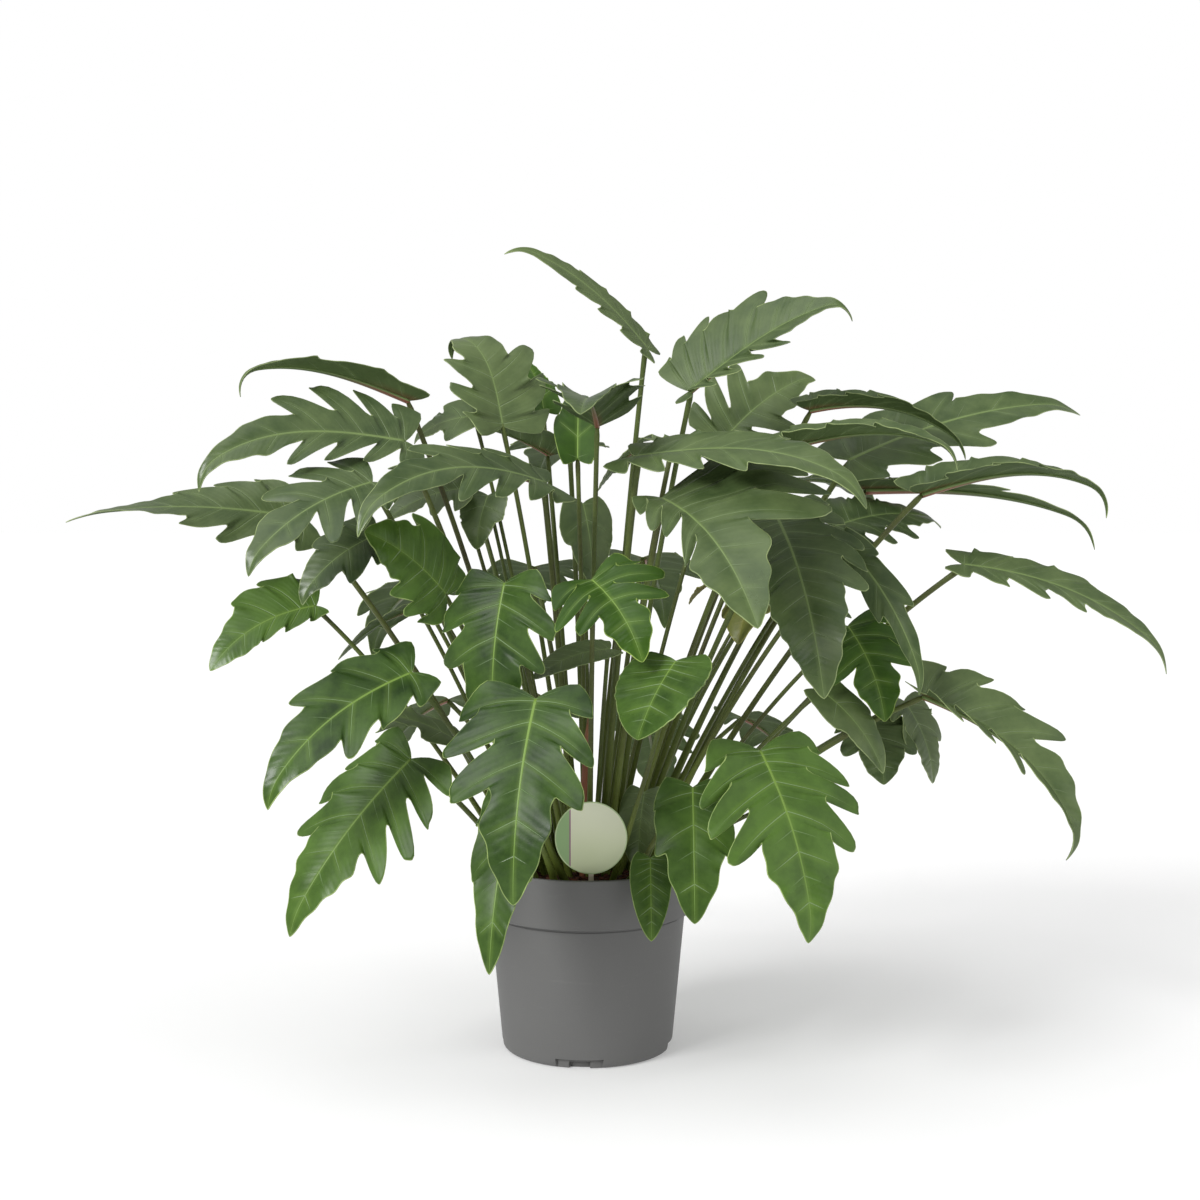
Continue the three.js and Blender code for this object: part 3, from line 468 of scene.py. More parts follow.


# how light the greens of some leaves are, from 0 to 1; the others are drawn. Mostly each leaf's own tone,
# but left_glossy is partly painted light: made as pale as it goes to stand in for light the leaves above keep
# from it
leafPaleness = {
    "front_left_broad": 0.15, "left_low_broad": 0.8, "left_low_drooping": 0.3, "left_middle_bright": 1.0,
    "left_glossy": 1.0, "left_long_arching": 0.15, "left_deep_lobed": 0.15, "left_upper_hooked": 0.25,
    "left_far": 0.5, "left_top_boat": 0.8, "upper_left_upright": 0.8, "top_slender": 0.8,
    "upper_right_plume": 0.3, "right_upper_long": 0.3, "right_inner_keeled": 0.5, "centre_long": 0.45,
    "centre_broad": 0.45, "right_centre_lobed": 0.3, "centre_young": 0.1, "centre_heart": 0.6,
    "left_centre_bright": 0.3, "right_front_broad": 0.95, "right_front_inner": 0.6, "right_low_far": 0.6,
    "right_far": 0.5,
}
# Every leaf, in mm and degrees. The collar is where the blade meets its stalk. The midrib bends down by
# bend times share^curl, and hooks at its tip. Roll turns the blade about it, twist does so from collar to
# tip, and fold lifts the two halves. Lobes are those of one side, and cut is how deep they are parted. Lean
# is the share by which the left half is the wider one, and bow how far the stalk bows sideways. Leaves of
# one name share a foot in the soil and are one piece.
leafColumns = [
    "name", "collar", "tip", "bend", "curl", "width", "roll", "fold", "lobes", "cut",
    "hook", "lean", "tone", "bow", "twist",
]
leafDefaults = {"hook": 0, "lean": 0, "tone": "mature", "bow": 0, "twist": 0}
leafRows = [
    ["front_left_broad", [-45, -190, 365], [-62, -255, 195], 45, 1.2, 136, 0, 8, 3, 0.5,
     0, -0.1, "fresh", -32],
    ["front_left_lower", [-65, -150, 275], [-85, -215, 125], 35, 1.2, 70, 10, 10, 2, 0.2, 0, 0, "fresh"],
    ["left_low_broad", [-165, -110, 300], [-270, -160, 145], 22, 1.2, 126, -30, 8, 4, 0.42, 15, 0.1, "fresh"],
    ["left_low_drooping", [-160, -150, 385], [-280, -215, 270], 45, 1.3, 90, -40, 15, 3, 0.25,
     20, 0, "fresh"],
    ["left_low_behind", [-125, -60, 310], [-205, -90, 340], 30, 1.2, 60, -20, 10, 1, 0.2],
    ["left_middle_bright", [-265, -40, 440], [-360, -80, 380], 50, 1.2, 66, -50, 10, 3, 0.12,
     0, -0.4, "fresh"],
    ["left_back_small", [-165, 60, 435], [-255, 40, 380], 40, 1.2, 55, 20, 10, 1, 0.2],
    ["left_glossy", [-133, -92, 453], [-205, -140, 514], 30, 1.2, 105, -65, 10, 3, 0.18, 0, 0, "fresh"],
    ["left_dark_inner", [-200, -90, 510], [-265, -120, 445], 40, 1.2, 70, -40, 10, 2, 0.3, 25],
    ["left_long_arching", [-40, -60, 560], [-200, -220, 510], 60, 1.5, 90, -35, 10, 4, 0.5, 30],
    ["left_deep_lobed", [-200, -120, 560], [-300, -200, 475], 40, 1.3, 110, -30, 10, 3, 0.6, 25],
    ["left_upper_hooked", [-175, -70, 600], [-355, -150, 550], 60, 2.0, 90, -55, 10, 4, 0.55, 35, -0.25],
    ["left_far", [-280, -20, 525], [-495, -90, 522], 22, 1.2, 86, -60, 10, 4, 0.3, 10, 0, "mature", 0, 62],
    ["left_top_boat", [-176, -20, 642], [-325, -110, 640], 45, 2, 50, 0, 50, 2, 0.1, 70],
    ["upper_left_upright", [-85, 5, 618], [-141, 70, 690], 115, 2.2, 108, -15, 15, 3, 0.4, 70, -0.1],
    ["upper_left_under", [-40, 75, 590], [-135, 35, 620], 30, 1.2, 90, 0, 30, 3, 0.3],
    ["upper_young_left", [-48, 132, 640], [-75, 165, 695], 50, 1.2, 50, 0, 20, 1, 0.4, 30, 0, "young"],
    ["upper_fan", [10, -40, 615], [-5, -180, 620], 60, 1.5, 120, 0, 42, 3, 0.4],
    ["upper_young_centre", [-10, 5, 585], [-10, 115, 655], 50, 1.2, 50, 0, 25, 1, 0.2, 0, 0, "young"],
    ["top_slender", [60, 0, 695], [-80, -60, 781], 35, 1.3, 36, -52, 10, 4, 0.12, 40],
    ["upper_right_plume", [100, -40, 650], [255, -70, 715], 32, 2.2, 118, 40, 30, 5, 0.3, 75, 0.15],
    ["upper_right_behind", [140, 60, 605], [240, 100, 670], 30, 1.2, 120, 60, 10, 3, 0.6, 30],
    ["right_upper_keeled", [225, 30, 635], [388, 50, 585], 60, 1.3, 60, 10, 45, 4, 0.25, 25],
    ["right_upper_long", [270, 60, 585], [530, 140, 635], 25, 1.4, 100, 40, 10, 3, 0.3, 25],
    ["right_inner_keeled", [178, -92, 590], [340, -150, 570], 50, 1.8, 65, 10, 45, 3, 0.2, 45],
    ["centre_long", [47, -90, 585], [245, -230, 535], 45, 2, 85, 25, 10, 4, 0.2, 25],
    ["centre_broad", [70, -130, 545], [145, -290, 435], 45, 1.3, 170, 20, 14, 4, 0.6, 0, 0.58],
    ["right_centre_lobed", [187, -35, 525], [213, -190, 365], 40, 1.3, 125, 15, 10, 5, 0.35],
    ["centre_young", [5, -150, 470], [50, -215, 400], 40, 1.3, 110, 30, 15, 3, 0.65, 0, 0, "young"],
    ["centre_heart", [80, -200, 400], [45, -240, 335], 25, 1.2, 100, 0, 10, 0, 0, 0, 0, "fresh", 12],
    ["centre_dark_small", [22, -70, 400], [-50, -110, 375], 35, 1.2, 45, -20, 10, 0, 0],
    ["left_centre_bright", [-76, -132, 466], [-83, -144, 318], 35, 1.2, 118, 0, 10, 3, 0.35, 0, 0, "fresh"],
    ["right_front_broad", [155, -200, 320], [190, -265, 165], 40, 1.2, 145, 5, 8, 4, 0.48,
     25, 0, "fresh", 30],
    ["right_front_inner", [98, -140, 278], [97, -195, 165], 35, 1.2, 82, 0, 10, 2, 0.2, 0, 0, "fresh"],
    ["rim_small", [60, -100, 205], [60, -135, 135], 35, 1.2, 40, 0, 10, 0, 0, 0, 0, "fresh"],
    ["centre_low_dark", [56, -42, 258], [50, -58, 185], 35, 1.2, 46, 0, 10, 0, 0],
    ["right_low_hidden", [175, -140, 265], [220, -165, 200], 50, 1.2, 50, 20, 10, 1, 0.2],
    ["right_low_narrow", [225, -60, 360], [280, -100, 285], 40, 1.2, 50, 30, 10, 1, 0.2],
    ["right_bright", [255, -38, 420], [284, -84, 332], 40, 1.2, 105, 20, 10, 3, 0.5, 0, 0, "young"],
    ["right_dark_pair", [280, -10, 325], [290, -40, 265], 40, 1.2, 85, 0, 10, 2, 0.3],
    ["right_dark_pair", [320, 20, 340], [345, 0, 260], 40, 1.2, 80, 0, 10, 2, 0.3],
    ["right_drooping", [250, -60, 500], [312, -110, 360], 35, 1.2, 40, 60, 15, 2, 0.35, 20],
    ["right_dark_upper", [248, 4, 517], [370, 88, 514], 30, 1.2, 95, 30, 10, 3, 0.4, 30],
    ["right_far_upper", [330, -20, 550], [530, 40, 525], 52, 1.8, 75, 10, 45, 3, 0.25, 55, 0, "mature", -14],
    ["right_far_slender", [290, 85, 555], [547, 145, 490], 30, 1.8, 65, 0, 35, 3, 0.4, 45],
    ["right_far", [370, -30, 480], [560, -60, 375], 45, 1.3, 64, 30, 15, 4, 0.25, 30],
    ["right_low_far", [325, -60, 355], [450, -110, 205], 60, 1.5, 105, 25, 45, 4, 0.45, 40],
    ["left_upper_small", [-112, 12, 628], [-175, 20, 600], 40, 1.2, 60, -40, 12, 1, 0.4, 30],
    ["left_inner_low", [-128, 22, 555], [-200, 2, 520], 35, 1.2, 75, -30, 10, 2, 0.4, 20],
    ["left_inner_low", [-100, 10, 548], [-110, -8, 494], 35, 1.2, 56, 0, 10, 1, 0.15],
    ["inner_dark", [-5, 50, 540], [5, 30, 455], 30, 1.2, 60, 0, 10, 1, 0.1],
    ["inner_dark", [54, 70, 597], [10, 55, 552], 35, 1.2, 52, 25, 10, 1, 0.15],
    ["inner_yellow", [140, 60, 465], [105, 70, 435], 30, 1.2, 55, 0, 10, 1, 0.2, 0, 0, "olive"],
    ["inner_yellow", [168, 20, 448], [150, -10, 400], 35, 1.2, 60, 10, 10, 1, 0.2, 0, 0, "olive"],
    ["back_left", [-20, 150, 600], [-60, 310, 560], 50, 1.5, 110, 0, 12, 3, 0.45, 30],
    ["back_left", [-60, 190, 470], [-85, 340, 370], 45, 1.3, 120, 0, 10, 3, 0.5, 30],
    ["back_right", [90, 130, 605], [160, 290, 560], 50, 1.5, 110, 0, 12, 3, 0.45, 30],
    ["back_right", [60, 200, 480], [90, 360, 390], 45, 1.3, 120, 0, 10, 3, 0.5, 30],
    ["back_far_left", [-130, 140, 570], [-225, 280, 540], 50, 1.5, 105, 0, 12, 3, 0.45, 30],
    ["back_far_left", [-180, 160, 450], [-250, 290, 360], 45, 1.3, 110, 0, 10, 2, 0.5, 30],
    ["back_far_right", [190, 150, 560], [330, 260, 520], 50, 1.5, 105, 0, 12, 3, 0.45, 30],
    ["back_far_right", [190, 190, 440], [300, 310, 350], 45, 1.3, 110, 0, 10, 3, 0.5, 30],
    ["back_low_left", [-50, 160, 330], [-80, 270, 210], 40, 1.2, 110, 0, 10, 3, 0.45],
    ["back_low_left", [-150, 130, 330], [-235, 215, 240], 40, 1.2, 105, 0, 10, 2, 0.45],
    ["back_low_right", [60, 170, 310], [80, 285, 195], 40, 1.2, 105, 0, 10, 3, 0.45],
    ["back_low_right", [165, 140, 310], [245, 225, 215], 40, 1.2, 100, 0, 10, 2, 0.45],
]
blade = {
    "thickness": 0.7,       # mm
    "ribSteps": 96,
    "backReach": 0.13,      # how far the heart reaches behind the collar, as a share of the midrib
    "heartBack": 0.35,      # the heart's width goes with sigma^heartBack (1 - sigma)^heartFront
    "heartFront": 0.7,
    "notchShare": 0.045,    # share of the outline taken by the notch at the collar
    "veinFoot": 0.08,       # share of the outline whose veins all start at the collar
    "veinSlant": 1.7,       # power that crowds the starts of the others towards the collar
    "lobeEnd": 0.62,        # share of the outline where the last lobe ends
    "lobeTip": veins["lobeShare"],
    "tipFrom": 0.62,        # the lobe is full from here to tipTo, as shares of its way along the outline
    "tipTo": 0.78,
    "cutFlat": 0.05,        # half the width of a cut's bottom
    "firstCut": 0.6,        # share of its depth that the cut nearest the collar has
    "endLobe": 0.92,        # width of the uncut end, and what it loses to the cuts
    "endLoss": 0.5,
    "lobeSpread": 0.2,      # how unequal the lobes are
    "wavy": 0.03,
    "tailNarrow": 0.5,      # how much the tail of a hooked leaf narrows
    "hookFrom": 0.8,        # share of the midrib where its hook starts
    "arch": 0.12,           # these five are shares of half the blade's width
    "ripple": 0.035,
    "sweep": 0.12,
    "droop": 0.05,
    "uneven": 0.05,
    "unevenCell": 45,       # mm
    "foldLoss": 0.55,       # share of the fold that is gone at the tip
    "curl": 2.0,            # mm that the margin curls up in the cuts
    "pucker": 1.0,          # mm that the blade swells between its veins, on the largest leaves
    "ruffle": 1.8,          # mm that the margin rises and falls
    "ruffles": 11,          # how often along the outline
    "veinsUncut": 3,        # pairs of veins on a leaf without lobes
    "phases": [(0, 0.6, 8), (0.6, 0.8, 6), (0.8, 1, 7)],    # columns in a lobe: from, to and how many
    "columnsAtEnd": 30,
    "columnsUncut": 60,
    "collarPlaces": [0, 0.008, 0.016, 0.024, 0.034, 0.044],
    "tipPlaces": [0.985, 0.995, 1],
    "rows": [0, 0.08, 0.2, 0.34, 0.5, 0.66, 0.8, 0.9, 0.965, 1],
}
midribs = {
    "halfWidth": 3.2,       # mm on a blade of the full length
    "fullLength": 220,
    "atTip": 0.35,
    "flatness": 0.8,
    "proud": 0.55,          # mm above the blade
    "rings": 44,
    "sides": 10,
}
stalks = {
    "soilLevel": 175,
    "rootDepth": 16,
    "crownDepth": 80,       # how deep under the soil the point lies that all stalks aim at
    "footReach": 66,        # feet stand within this radius
    "footPitch": 11.5,      # and at least this far apart
    "spreadPasses": 80,
    "rise": 0.08,           # share of its span that a stalk bows upwards
    "radius": 1.5,          # and 1 mm more for this length of the blade
    "lengthPerMm": 200,
    "body": 1.12, "flare": 0.6, "swelling": 0.2,    # in radii: the stalk, and what foot and collar add
    "flareEnd": 0.45, "swellFrom": 0.93,            # shares of its length
    "flatness": 0.94,
    "sides": 12,
    "rings": 44,
}
sheath = {
    "tip": (2, -58, 340),
    "radius": 5,
    "places": [0, 0.45, 0.66, 0.85, 0.97, 1],       # shares of its length, and of its radius there
    "widths": [0.55, 0.85, 0.98, 0.72, 0.2, 0.02],
    "lap": 0.12,            # share of its radius by which the outer edge stands over the inner one
    "rings": 60,
    "sides": 40,
}
heartWidest = blade["heartBack"] / (blade["heartBack"] + blade["heartFront"])
heartScale = 1 / (heartWidest ** blade["heartBack"] * (1 - heartWidest) ** blade["heartFront"])


def ribAngle(leaf, share):
    # turned down by bend times share^curl, and by the hook over the last stretch
    hooked = smooth((share - blade["hookFrom"]) / (1 - blade["hookFrom"]))
    return -leaf["bend"] * share ** leaf["curl"] - leaf["hook"] * hooked


def readLeaf(index, row):
    leaf = {**leafDefaults, **dict(zip(leafColumns, row)), "seed": index + 1}
    leaf["pale"] = leafPaleness.get(leaf["name"], float(draw(leaf["seed"], 3)))
    leaf["half"] = leaf["width"] / 2
    leaf["collar"] = np.array(leaf["collar"], float)
    for key in ("bend", "roll", "fold", "hook", "twist"):
        leaf[key] = math.radians(leaf[key])
    # the midrib lies in the upright plane through collar and tip, and is as long as it takes to span
    # from one to the other
    span = leaf["tip"] - leaf["collar"]
    leaf["chord"] = unit(span)
    leaf["level"] = unit(np.array([-span[1], span[0], 0]))
    leaf["rise"] = np.cross(leaf["chord"], leaf["level"])
    steps = blade["ribSteps"]
    angle = ribAngle(leaf, (np.arange(steps) + 0.5) / steps)
    x, z = (np.concatenate([[0], np.cumsum(part(angle)) / steps]) for part in (np.cos, np.sin))
    leaf["start"] = math.atan2(z[-1], x[-1])
    leaf["length"] = np.linalg.norm(span) / math.hypot(x[-1], z[-1])
    cos, sin = math.cos(leaf["start"]), math.sin(leaf["start"])
    leaf["outward"], leaf["upward"] = x * cos + z * sin, z * cos - x * sin
    return leaf


def ribFrame(leaf, share):
    # point, direction, left and upper side of the blade at a share of the midrib's length
    inside = np.clip(share, 0, 1)
    stations = np.linspace(0, 1, blade["ribSteps"] + 1)
    outward = np.interp(inside, stations, leaf["outward"])[..., None] * leaf["length"]
    upward = np.interp(inside, stations, leaf["upward"])[..., None] * leaf["length"]
    angle = (ribAngle(leaf, inside) - leaf["start"])[..., None]
    along = np.cos(angle) * leaf["chord"] + np.sin(angle) * leaf["rise"]
    point = leaf["collar"] + outward * leaf["chord"] + upward * leaf["rise"]
    point = point + (share - inside)[..., None] * leaf["length"] * along
    roll = (leaf["roll"] + leaf["twist"] * smooth(inside))[..., None]
    across = np.cos(roll) * leaf["level"] + np.sin(roll) * leaf["rise"]
    across = unit(across - np.sum(across * along, axis=-1, keepdims=True) * along)
    return point, along, across, np.cross(along, across)


def reach(leaf, sigma, side):
    # share of the way out to the uncut heart outline: 1 at each lobe's point, less in the cuts, and
    # least at the collar; each lobe rises slowly from a cut to its point and falls fast to the next
    notch = 0.02 + 0.98 * smooth(sigma / blade["notchShare"])
    if leaf["lobes"] == 0:
        return notch
    lobes, tip, flat = leaf["lobes"], blade["lobeTip"], blade["cutFlat"]
    drawn = lambda index: draw(leaf["seed"], index + (side > 0))
    place = sigma / blade["lobeEnd"] * lobes
    lobe = np.floor(place + 1e-9)
    phase = np.maximum(0, place - lobe)
    rising = phase < tip
    rise = np.clip((phase - flat) / (blade["tipFrom"] - flat), 0, 1)
    fall = np.clip((phase - blade["tipTo"]) / (1 - flat - blade["tipTo"]), 0, 1)
    rise, fall = (0.5 + 0.5 * np.cos(math.pi * rise)) ** 1.2, 0.5 - 0.5 * np.cos(math.pi * fall)
    nearCut = np.where(rising, rise, fall)
    cut = np.where(rising, lobe, lobe + 1)
    first = blade["firstCut"] + (1 - blade["firstCut"]) * np.minimum(1, cut / 1.5)
    depth = first * leaf["cut"] * (0.75 + 0.5 * drawn(cut * 2))
    depth = np.where((cut > 0) & (cut <= lobes), np.minimum(depth, 0.8), 0)
    unequal = blade["lobeSpread"] * (drawn(31 + lobe * 2) - 0.5) * np.sin(math.pi * phase)
    ending = smooth((place - (lobes - 1 + tip)) / (1 - tip))
    full = (1 + np.where(lobe < lobes, unequal, 0)) * (1 - ending)
    full = full + (blade["endLobe"] - blade["endLoss"] * leaf["cut"]) * ending
    wavy = blade["wavy"] * np.sin(tau * (place * 1.6 + drawn(51))) * smooth(sigma / 0.2)
    return notch * (full + wavy - np.maximum(0, full - 1 + depth) * nearCut)


def outlinePlaces(leaf):
    # places along the outline, closer together round each lobe's point and in the cuts
    lobes, end = leaf["lobes"], blade["lobeEnd"]
    phases = np.concatenate([np.linspace(*part, endpoint=False) for part in blade["phases"]])
    inLobes = (np.arange(lobes)[:, None] + phases).ravel() / max(lobes, 1) * end
    rest = np.linspace(end, 1, blade["columnsAtEnd"]) if lobes else np.linspace(0, 1, blade["columnsUncut"])
    return np.unique(np.concatenate([inLobes, rest, blade["collarPlaces"], blade["tipPlaces"]]))[:, None]


def lobePlaces(leaf, side, sigma, out):
    # the way through its lobe and the lobe's own random number; how near it is to the lobe's point and
    # how deep in a cut, from 0 to 1
    lobed = sigma / blade["lobeEnd"] * leaf["lobes"]
    phase, lobe = lobed % 1, np.floor(lobed)
    own = draw(leaf["seed"], 71 + lobe * 2 + (side > 0))
    pointed = smooth((phase - 0.2) / 0.45) * smooth((1 - phase) / 0.2) * (sigma < blade["lobeEnd"])
    pointed = pointed * smooth(sigma / 0.12) * (leaf["cut"] > 0) * out ** 3
    inCut = np.exp(-(np.minimum(phase, 1 - phase) / 0.1) ** 2) * (leaf["cut"] > 0)
    return phase, own, pointed, inCut * (lobed > 0.5) * (lobed < leaf["lobes"] + 0.5)


def bladeHeight(leaf, side, sigma, out, u, v, fold, count, lobing):
    # mm above the midrib: folded up and arched over, rippled from lobe to lobe; each lobe's point droops
    # and the margin curls up in the cuts
    half, seed = leaf["half"], leaf["seed"]
    phase, own, pointed, inCut = lobing
    wave = np.cos(math.pi * phase / blade["lobeTip"]) * (sigma < blade["lobeEnd"])
    wave = wave * smooth(sigma / blade["notchShare"])
    height = half * (v * np.sin(fold) - blade["arch"] * v * v + blade["ripple"] * out * out * wave)
    height = height - blade["droop"] * half * (0.3 + 1.4 * own) * pointed
    height = height + blade["curl"] * (0.4 + 1.2 * own) * inCut * out ** 6
    # between two side veins the blade swells, the whole of it undulates a little, and its margin ruffles
    between = 0.5 - 0.5 * np.cos(tau * (count - blade["lobeTip"]))
    scale = half / 60 * smooth(sigma / 0.1) * (1 - sigma) ** 0.3
    height = height + blade["pucker"] * scale * between * np.sin(math.pi * (0.9 * out)) ** 1.5
    uneven = patchyNoise(u * leaf["length"], side * v * half + 500, blade["unevenCell"], seed)
    uneven = uneven * smooth(v * 2)
    height = height + blade["uneven"] * half * uneven
    ruffled = np.sin(tau * (sigma * blade["ruffles"] + draw(seed, 5 + side)))
    ruffled = ruffled * patchyNoise(sigma * 900, 0 * out, 90, seed + 3)
    return height + blade["ruffle"] * scale * out ** 4 * ruffled


def bladeSide(leaf, side):
    # one half of the blade: sigma is the place along its outline and out the way from midrib to margin;
    # u is the share of the midrib's length, v the distance from it as a share of half the width
    half = leaf["half"]
    sigma, out = outlinePlaces(leaf), np.array(blade["rows"])[None, :]
    # where on the midrib its side vein starts
    start = (np.maximum(0, sigma - blade["veinFoot"]) / (1 - blade["veinFoot"])) ** blade["veinSlant"]
    way = reach(leaf, sigma, side) * out
    u = start + way * ((1 + blade["backReach"]) * sigma - blade["backReach"] - start)
    v = way * heartScale * sigma ** blade["heartBack"] * (1 - sigma) ** blade["heartFront"]
    v = v * (1 + side * leaf["lean"] * (1 - smooth((sigma - 0.5) / 0.3)))
    v = v * (1 - min(leaf["hook"], 1.2) * blade["tailNarrow"] * smooth((sigma - 0.7) / 0.24))
    lobing = lobePlaces(leaf, side, sigma, out)
    _, own, pointed, _ = lobing
    u = u + blade["sweep"] * (0.6 + 0.8 * own) * half / leaf["length"] * pointed
    fold = leaf["fold"] * (1 - blade["foldLoss"] * np.clip(u, 0, 1))
    count = sigma / blade["lobeEnd"] * (leaf["lobes"] or blade["veinsUncut"])
    height = bladeHeight(leaf, side, sigma, out, u, v, fold, count, lobing)
    point, _, across, up = ribFrame(leaf, u)
    points = point + (side * half * v * np.cos(fold))[..., None] * across + height[..., None] * up
    steps = np.linalg.norm(np.diff(points, axis=1), axis=-1)
    toMargin = np.concatenate([np.cumsum(steps[:, ::-1], axis=1)[:, ::-1], 0 * sigma], axis=1)
    pitch = np.linalg.norm(np.gradient(points, axis=0), axis=-1)
    pitch = pitch / np.maximum(np.gradient(count, axis=0), 1e-9)
    return points, threeMarks(count, pitch, half * v), threeMarks(toMargin, u, leaf["pale"])


def bladePatches(leaf):
    # both halves as one sheet, thickened along its averaged normals and closed round the margin
    points, places, edges, triangles, margins = [], [], [], [], []
    start = 0
    for side in (1, -1):
        grids = bladeSide(leaf, side)
        for found, grid in zip((points, places, edges), grids):
            found.append(grid.reshape(-1, 3))
        rows, columns = grids[0].shape[:2]
        triangles.append(gridTriangles(rows, columns, flipped=side > 0) + start)
        line = start + np.arange(rows) * columns + columns - 1
        margins.append(np.stack([line[:-1], line[1:]], axis=-1)[:, ::-side])
        start += rows * columns
    points, places, edges, triangles, margins = (
        np.concatenate(parts) for parts in (points, places, edges, triangles, margins)
    )
    _, first, inverse = np.unique(np.round(points, 3), axis=0, return_index=True, return_inverse=True)
    merged = inverse.reshape(-1)
    points = points[first][merged]
    a, b, c = (points[triangles[:, k]] for k in range(3))
    normals = np.zeros((len(first), 3))
    for k in range(3):
        np.add.at(normals, merged[triangles[:, k]], np.cross(b - a, c - a))
    normals = unit(normals)[merged] * blade["thickness"] / 2
    top, below = (points + normals) * mm, (points - normals) * mm
    count = len(points)
    b, d = margins.T
    rim = np.concatenate([np.stack([d, b, b + count], axis=-1), np.stack([d, b + count, d + count], axis=-1)])
    both = np.concatenate([top, below])
    patches = []
    for points, corners, slot in ((top, triangles, 0), (below, triangles[:, ::-1], 1), (both, rim, 0)):
        marks = {"leafPlace": places[corners % count], "leafEdge": edges[corners % count]}
        patches.append({"points": points, "triangles": corners, "slot": slot, **marks})
    return patches


def tubeMarks(share, sides, own=0.0):
    # what a tube's points hold: the turn round it; its sine, the share of the way along, the leaf's own
    turn = around(sides)[None, :]
    share = np.concatenate([[0], share, [1]])[:, None]
    return {"leafPlace": threeMarks(turn, 0 * share, 0.0), "leafEdge": threeMarks(np.sin(turn), share, own)}


def midribPatch(leaf):
    # a flattened cord along the midrib, a little proud above and standing out as a keel below
    share = np.linspace(0, 1, midribs["rings"])
    point, _, across, up = ribFrame(leaf, share)
    size = leaf["length"] / midribs["fullLength"]
    wide = (midribs["halfWidth"] * size) * (1 - share) ** 0.85 + midribs["atTip"]
    high = wide * midribs["flatness"]
    drop = high - blade["thickness"] / 2 - midribs["proud"] * size * (1 - share) ** 0.6
    marks = tubeMarks(share, midribs["sides"], leaf["pale"])
    return tubePatch(point - drop[:, None] * up, across, wide, high, midribs["sides"], 2, **marks)


def stalkFeet(stems):
    # stalks aim at one point under the soil, and their feet push each other apart to a set pitch
    feet = {}
    for name, collar in stems:
        share = stalks["crownDepth"] / (stalks["crownDepth"] + collar[2] - stalks["soilLevel"])
        feet.setdefault(name, np.array(collar[:2], float) * share)
    spots = np.array(list(feet.values()))
    for _ in range(stalks["spreadPasses"]):
        gap = spots[:, None] - spots[None]
        near = np.linalg.norm(gap, axis=-1)
        close = (near > 0) & (near < stalks["footPitch"])
        push = np.where(close, (stalks["footPitch"] - near) / np.maximum(near, 1e-9) / 2, 0)
        spots = spots + np.sum(gap * push[..., None], axis=1)
        size = np.linalg.norm(spots, axis=-1, keepdims=True)
        spots = spots * np.minimum(1, stalks["footReach"] / np.maximum(size, 1e-9))
    return dict(zip(feet, spots))


def stalkPatch(leaf, foot):
    # a cubic curve from its foot in the soil to the collar, a little raised and bowed between
    root = np.array([*foot, stalks["soilLevel"] - stalks["rootDepth"]])
    point, along, _, up = (x[0] for x in ribFrame(leaf, np.zeros(1)))
    radius = stalks["radius"] + leaf["length"] / stalks["lengthPerMm"]
    end = point - 0.4 * radius * up + 2 * along
    span = end - root
    sideways = unit(np.array([-span[1], span[0], 0]))
    lift = sideways * leaf["bow"] + np.array([0, 0, stalks["rise"] * np.linalg.norm(span)])
    first, second = root + span / 3 + lift, root + span * 2 / 3 + lift
    share = np.linspace(0, 1, stalks["rings"])
    t = share[:, None]
    path = root * (1 - t) ** 3 + 3 * first * t * (1 - t) ** 2 + 3 * second * t * t * (1 - t) + end * t ** 3
    size = radius * (stalks["body"] + stalks["flare"] * (1 - smooth(share / stalks["flareEnd"])))
    size = size * (1 + stalks["swelling"] * smooth((share - stalks["swellFrom"]) / 0.05))
    size[-2:] *= [0.93, 0.6]  # rounded off inside the blade
    marks = tubeMarks(share, stalks["sides"], float(draw(leaf["seed"], 9)))
    return tubePatch(path, sideways, size, size * stalks["flatness"], stalks["sides"], 3, **marks)


leaves = [readLeaf(index, row) for index, row in enumerate(leafRows)]
feet = stalkFeet([(leaf["name"], leaf["collar"]) for leaf in leaves] + [("next_leaf_sheath", sheath["tip"])])
for name in dict.fromkeys(leaf["name"] for leaf in leaves):
    own = [leaf for leaf in leaves if leaf["name"] == name]
    patches = []
    for leaf in own:
        patches += [*bladePatches(leaf), midribPatch(leaf), stalkPatch(leaf, feet[name])]
    tone = own[0]["tone"]
    buildPiece("grown_" + name, patches, leafMaterials[tone], "leaf_" + name)
print("leaves done:", len(leaves))


def sheathSurface():
    # dry sheath: thin as paper, red-brown with darker lengthwise fibres, and paler to its point
    material, add = newMaterial("dryLeafSheath")
    (turn, _, _), (_, along, _) = leafMarks(add)
    where = add("TexCoord").outputs["Object"]
    blotch = add("TexNoise", {"Vector": where, "Scale": 45.0, "Detail": 4.0})
    fibre = add("Math", {0: turn, 1: 26.0}, operation="MULTIPLY")
    fibre = add("Math", {0: fibre}, operation="SINE")
    dark = add("Math", {0: fibre, 1: 0.5, 2: 0.5}, operation="MULTIPLY_ADD")
    point = add("MapRange", {"Value": along, "From Min": 0.7, "From Max": 1.0}, **eased)
    layers = [(blotch, 1.0, "#a5694a"), (dark, 0.24, "#5c3424"), (point, 0.4, "#b08458")]
    closeMaterial(add, {
        "Base Color": paintOver(add, "#7c4630", layers), "IOR": 1.45, "Roughness": 0.5,
        "Normal": add("Bump", {"Strength": 1.0, "Distance": mm * 0.08, "Height": fibre}),
    })
    return material


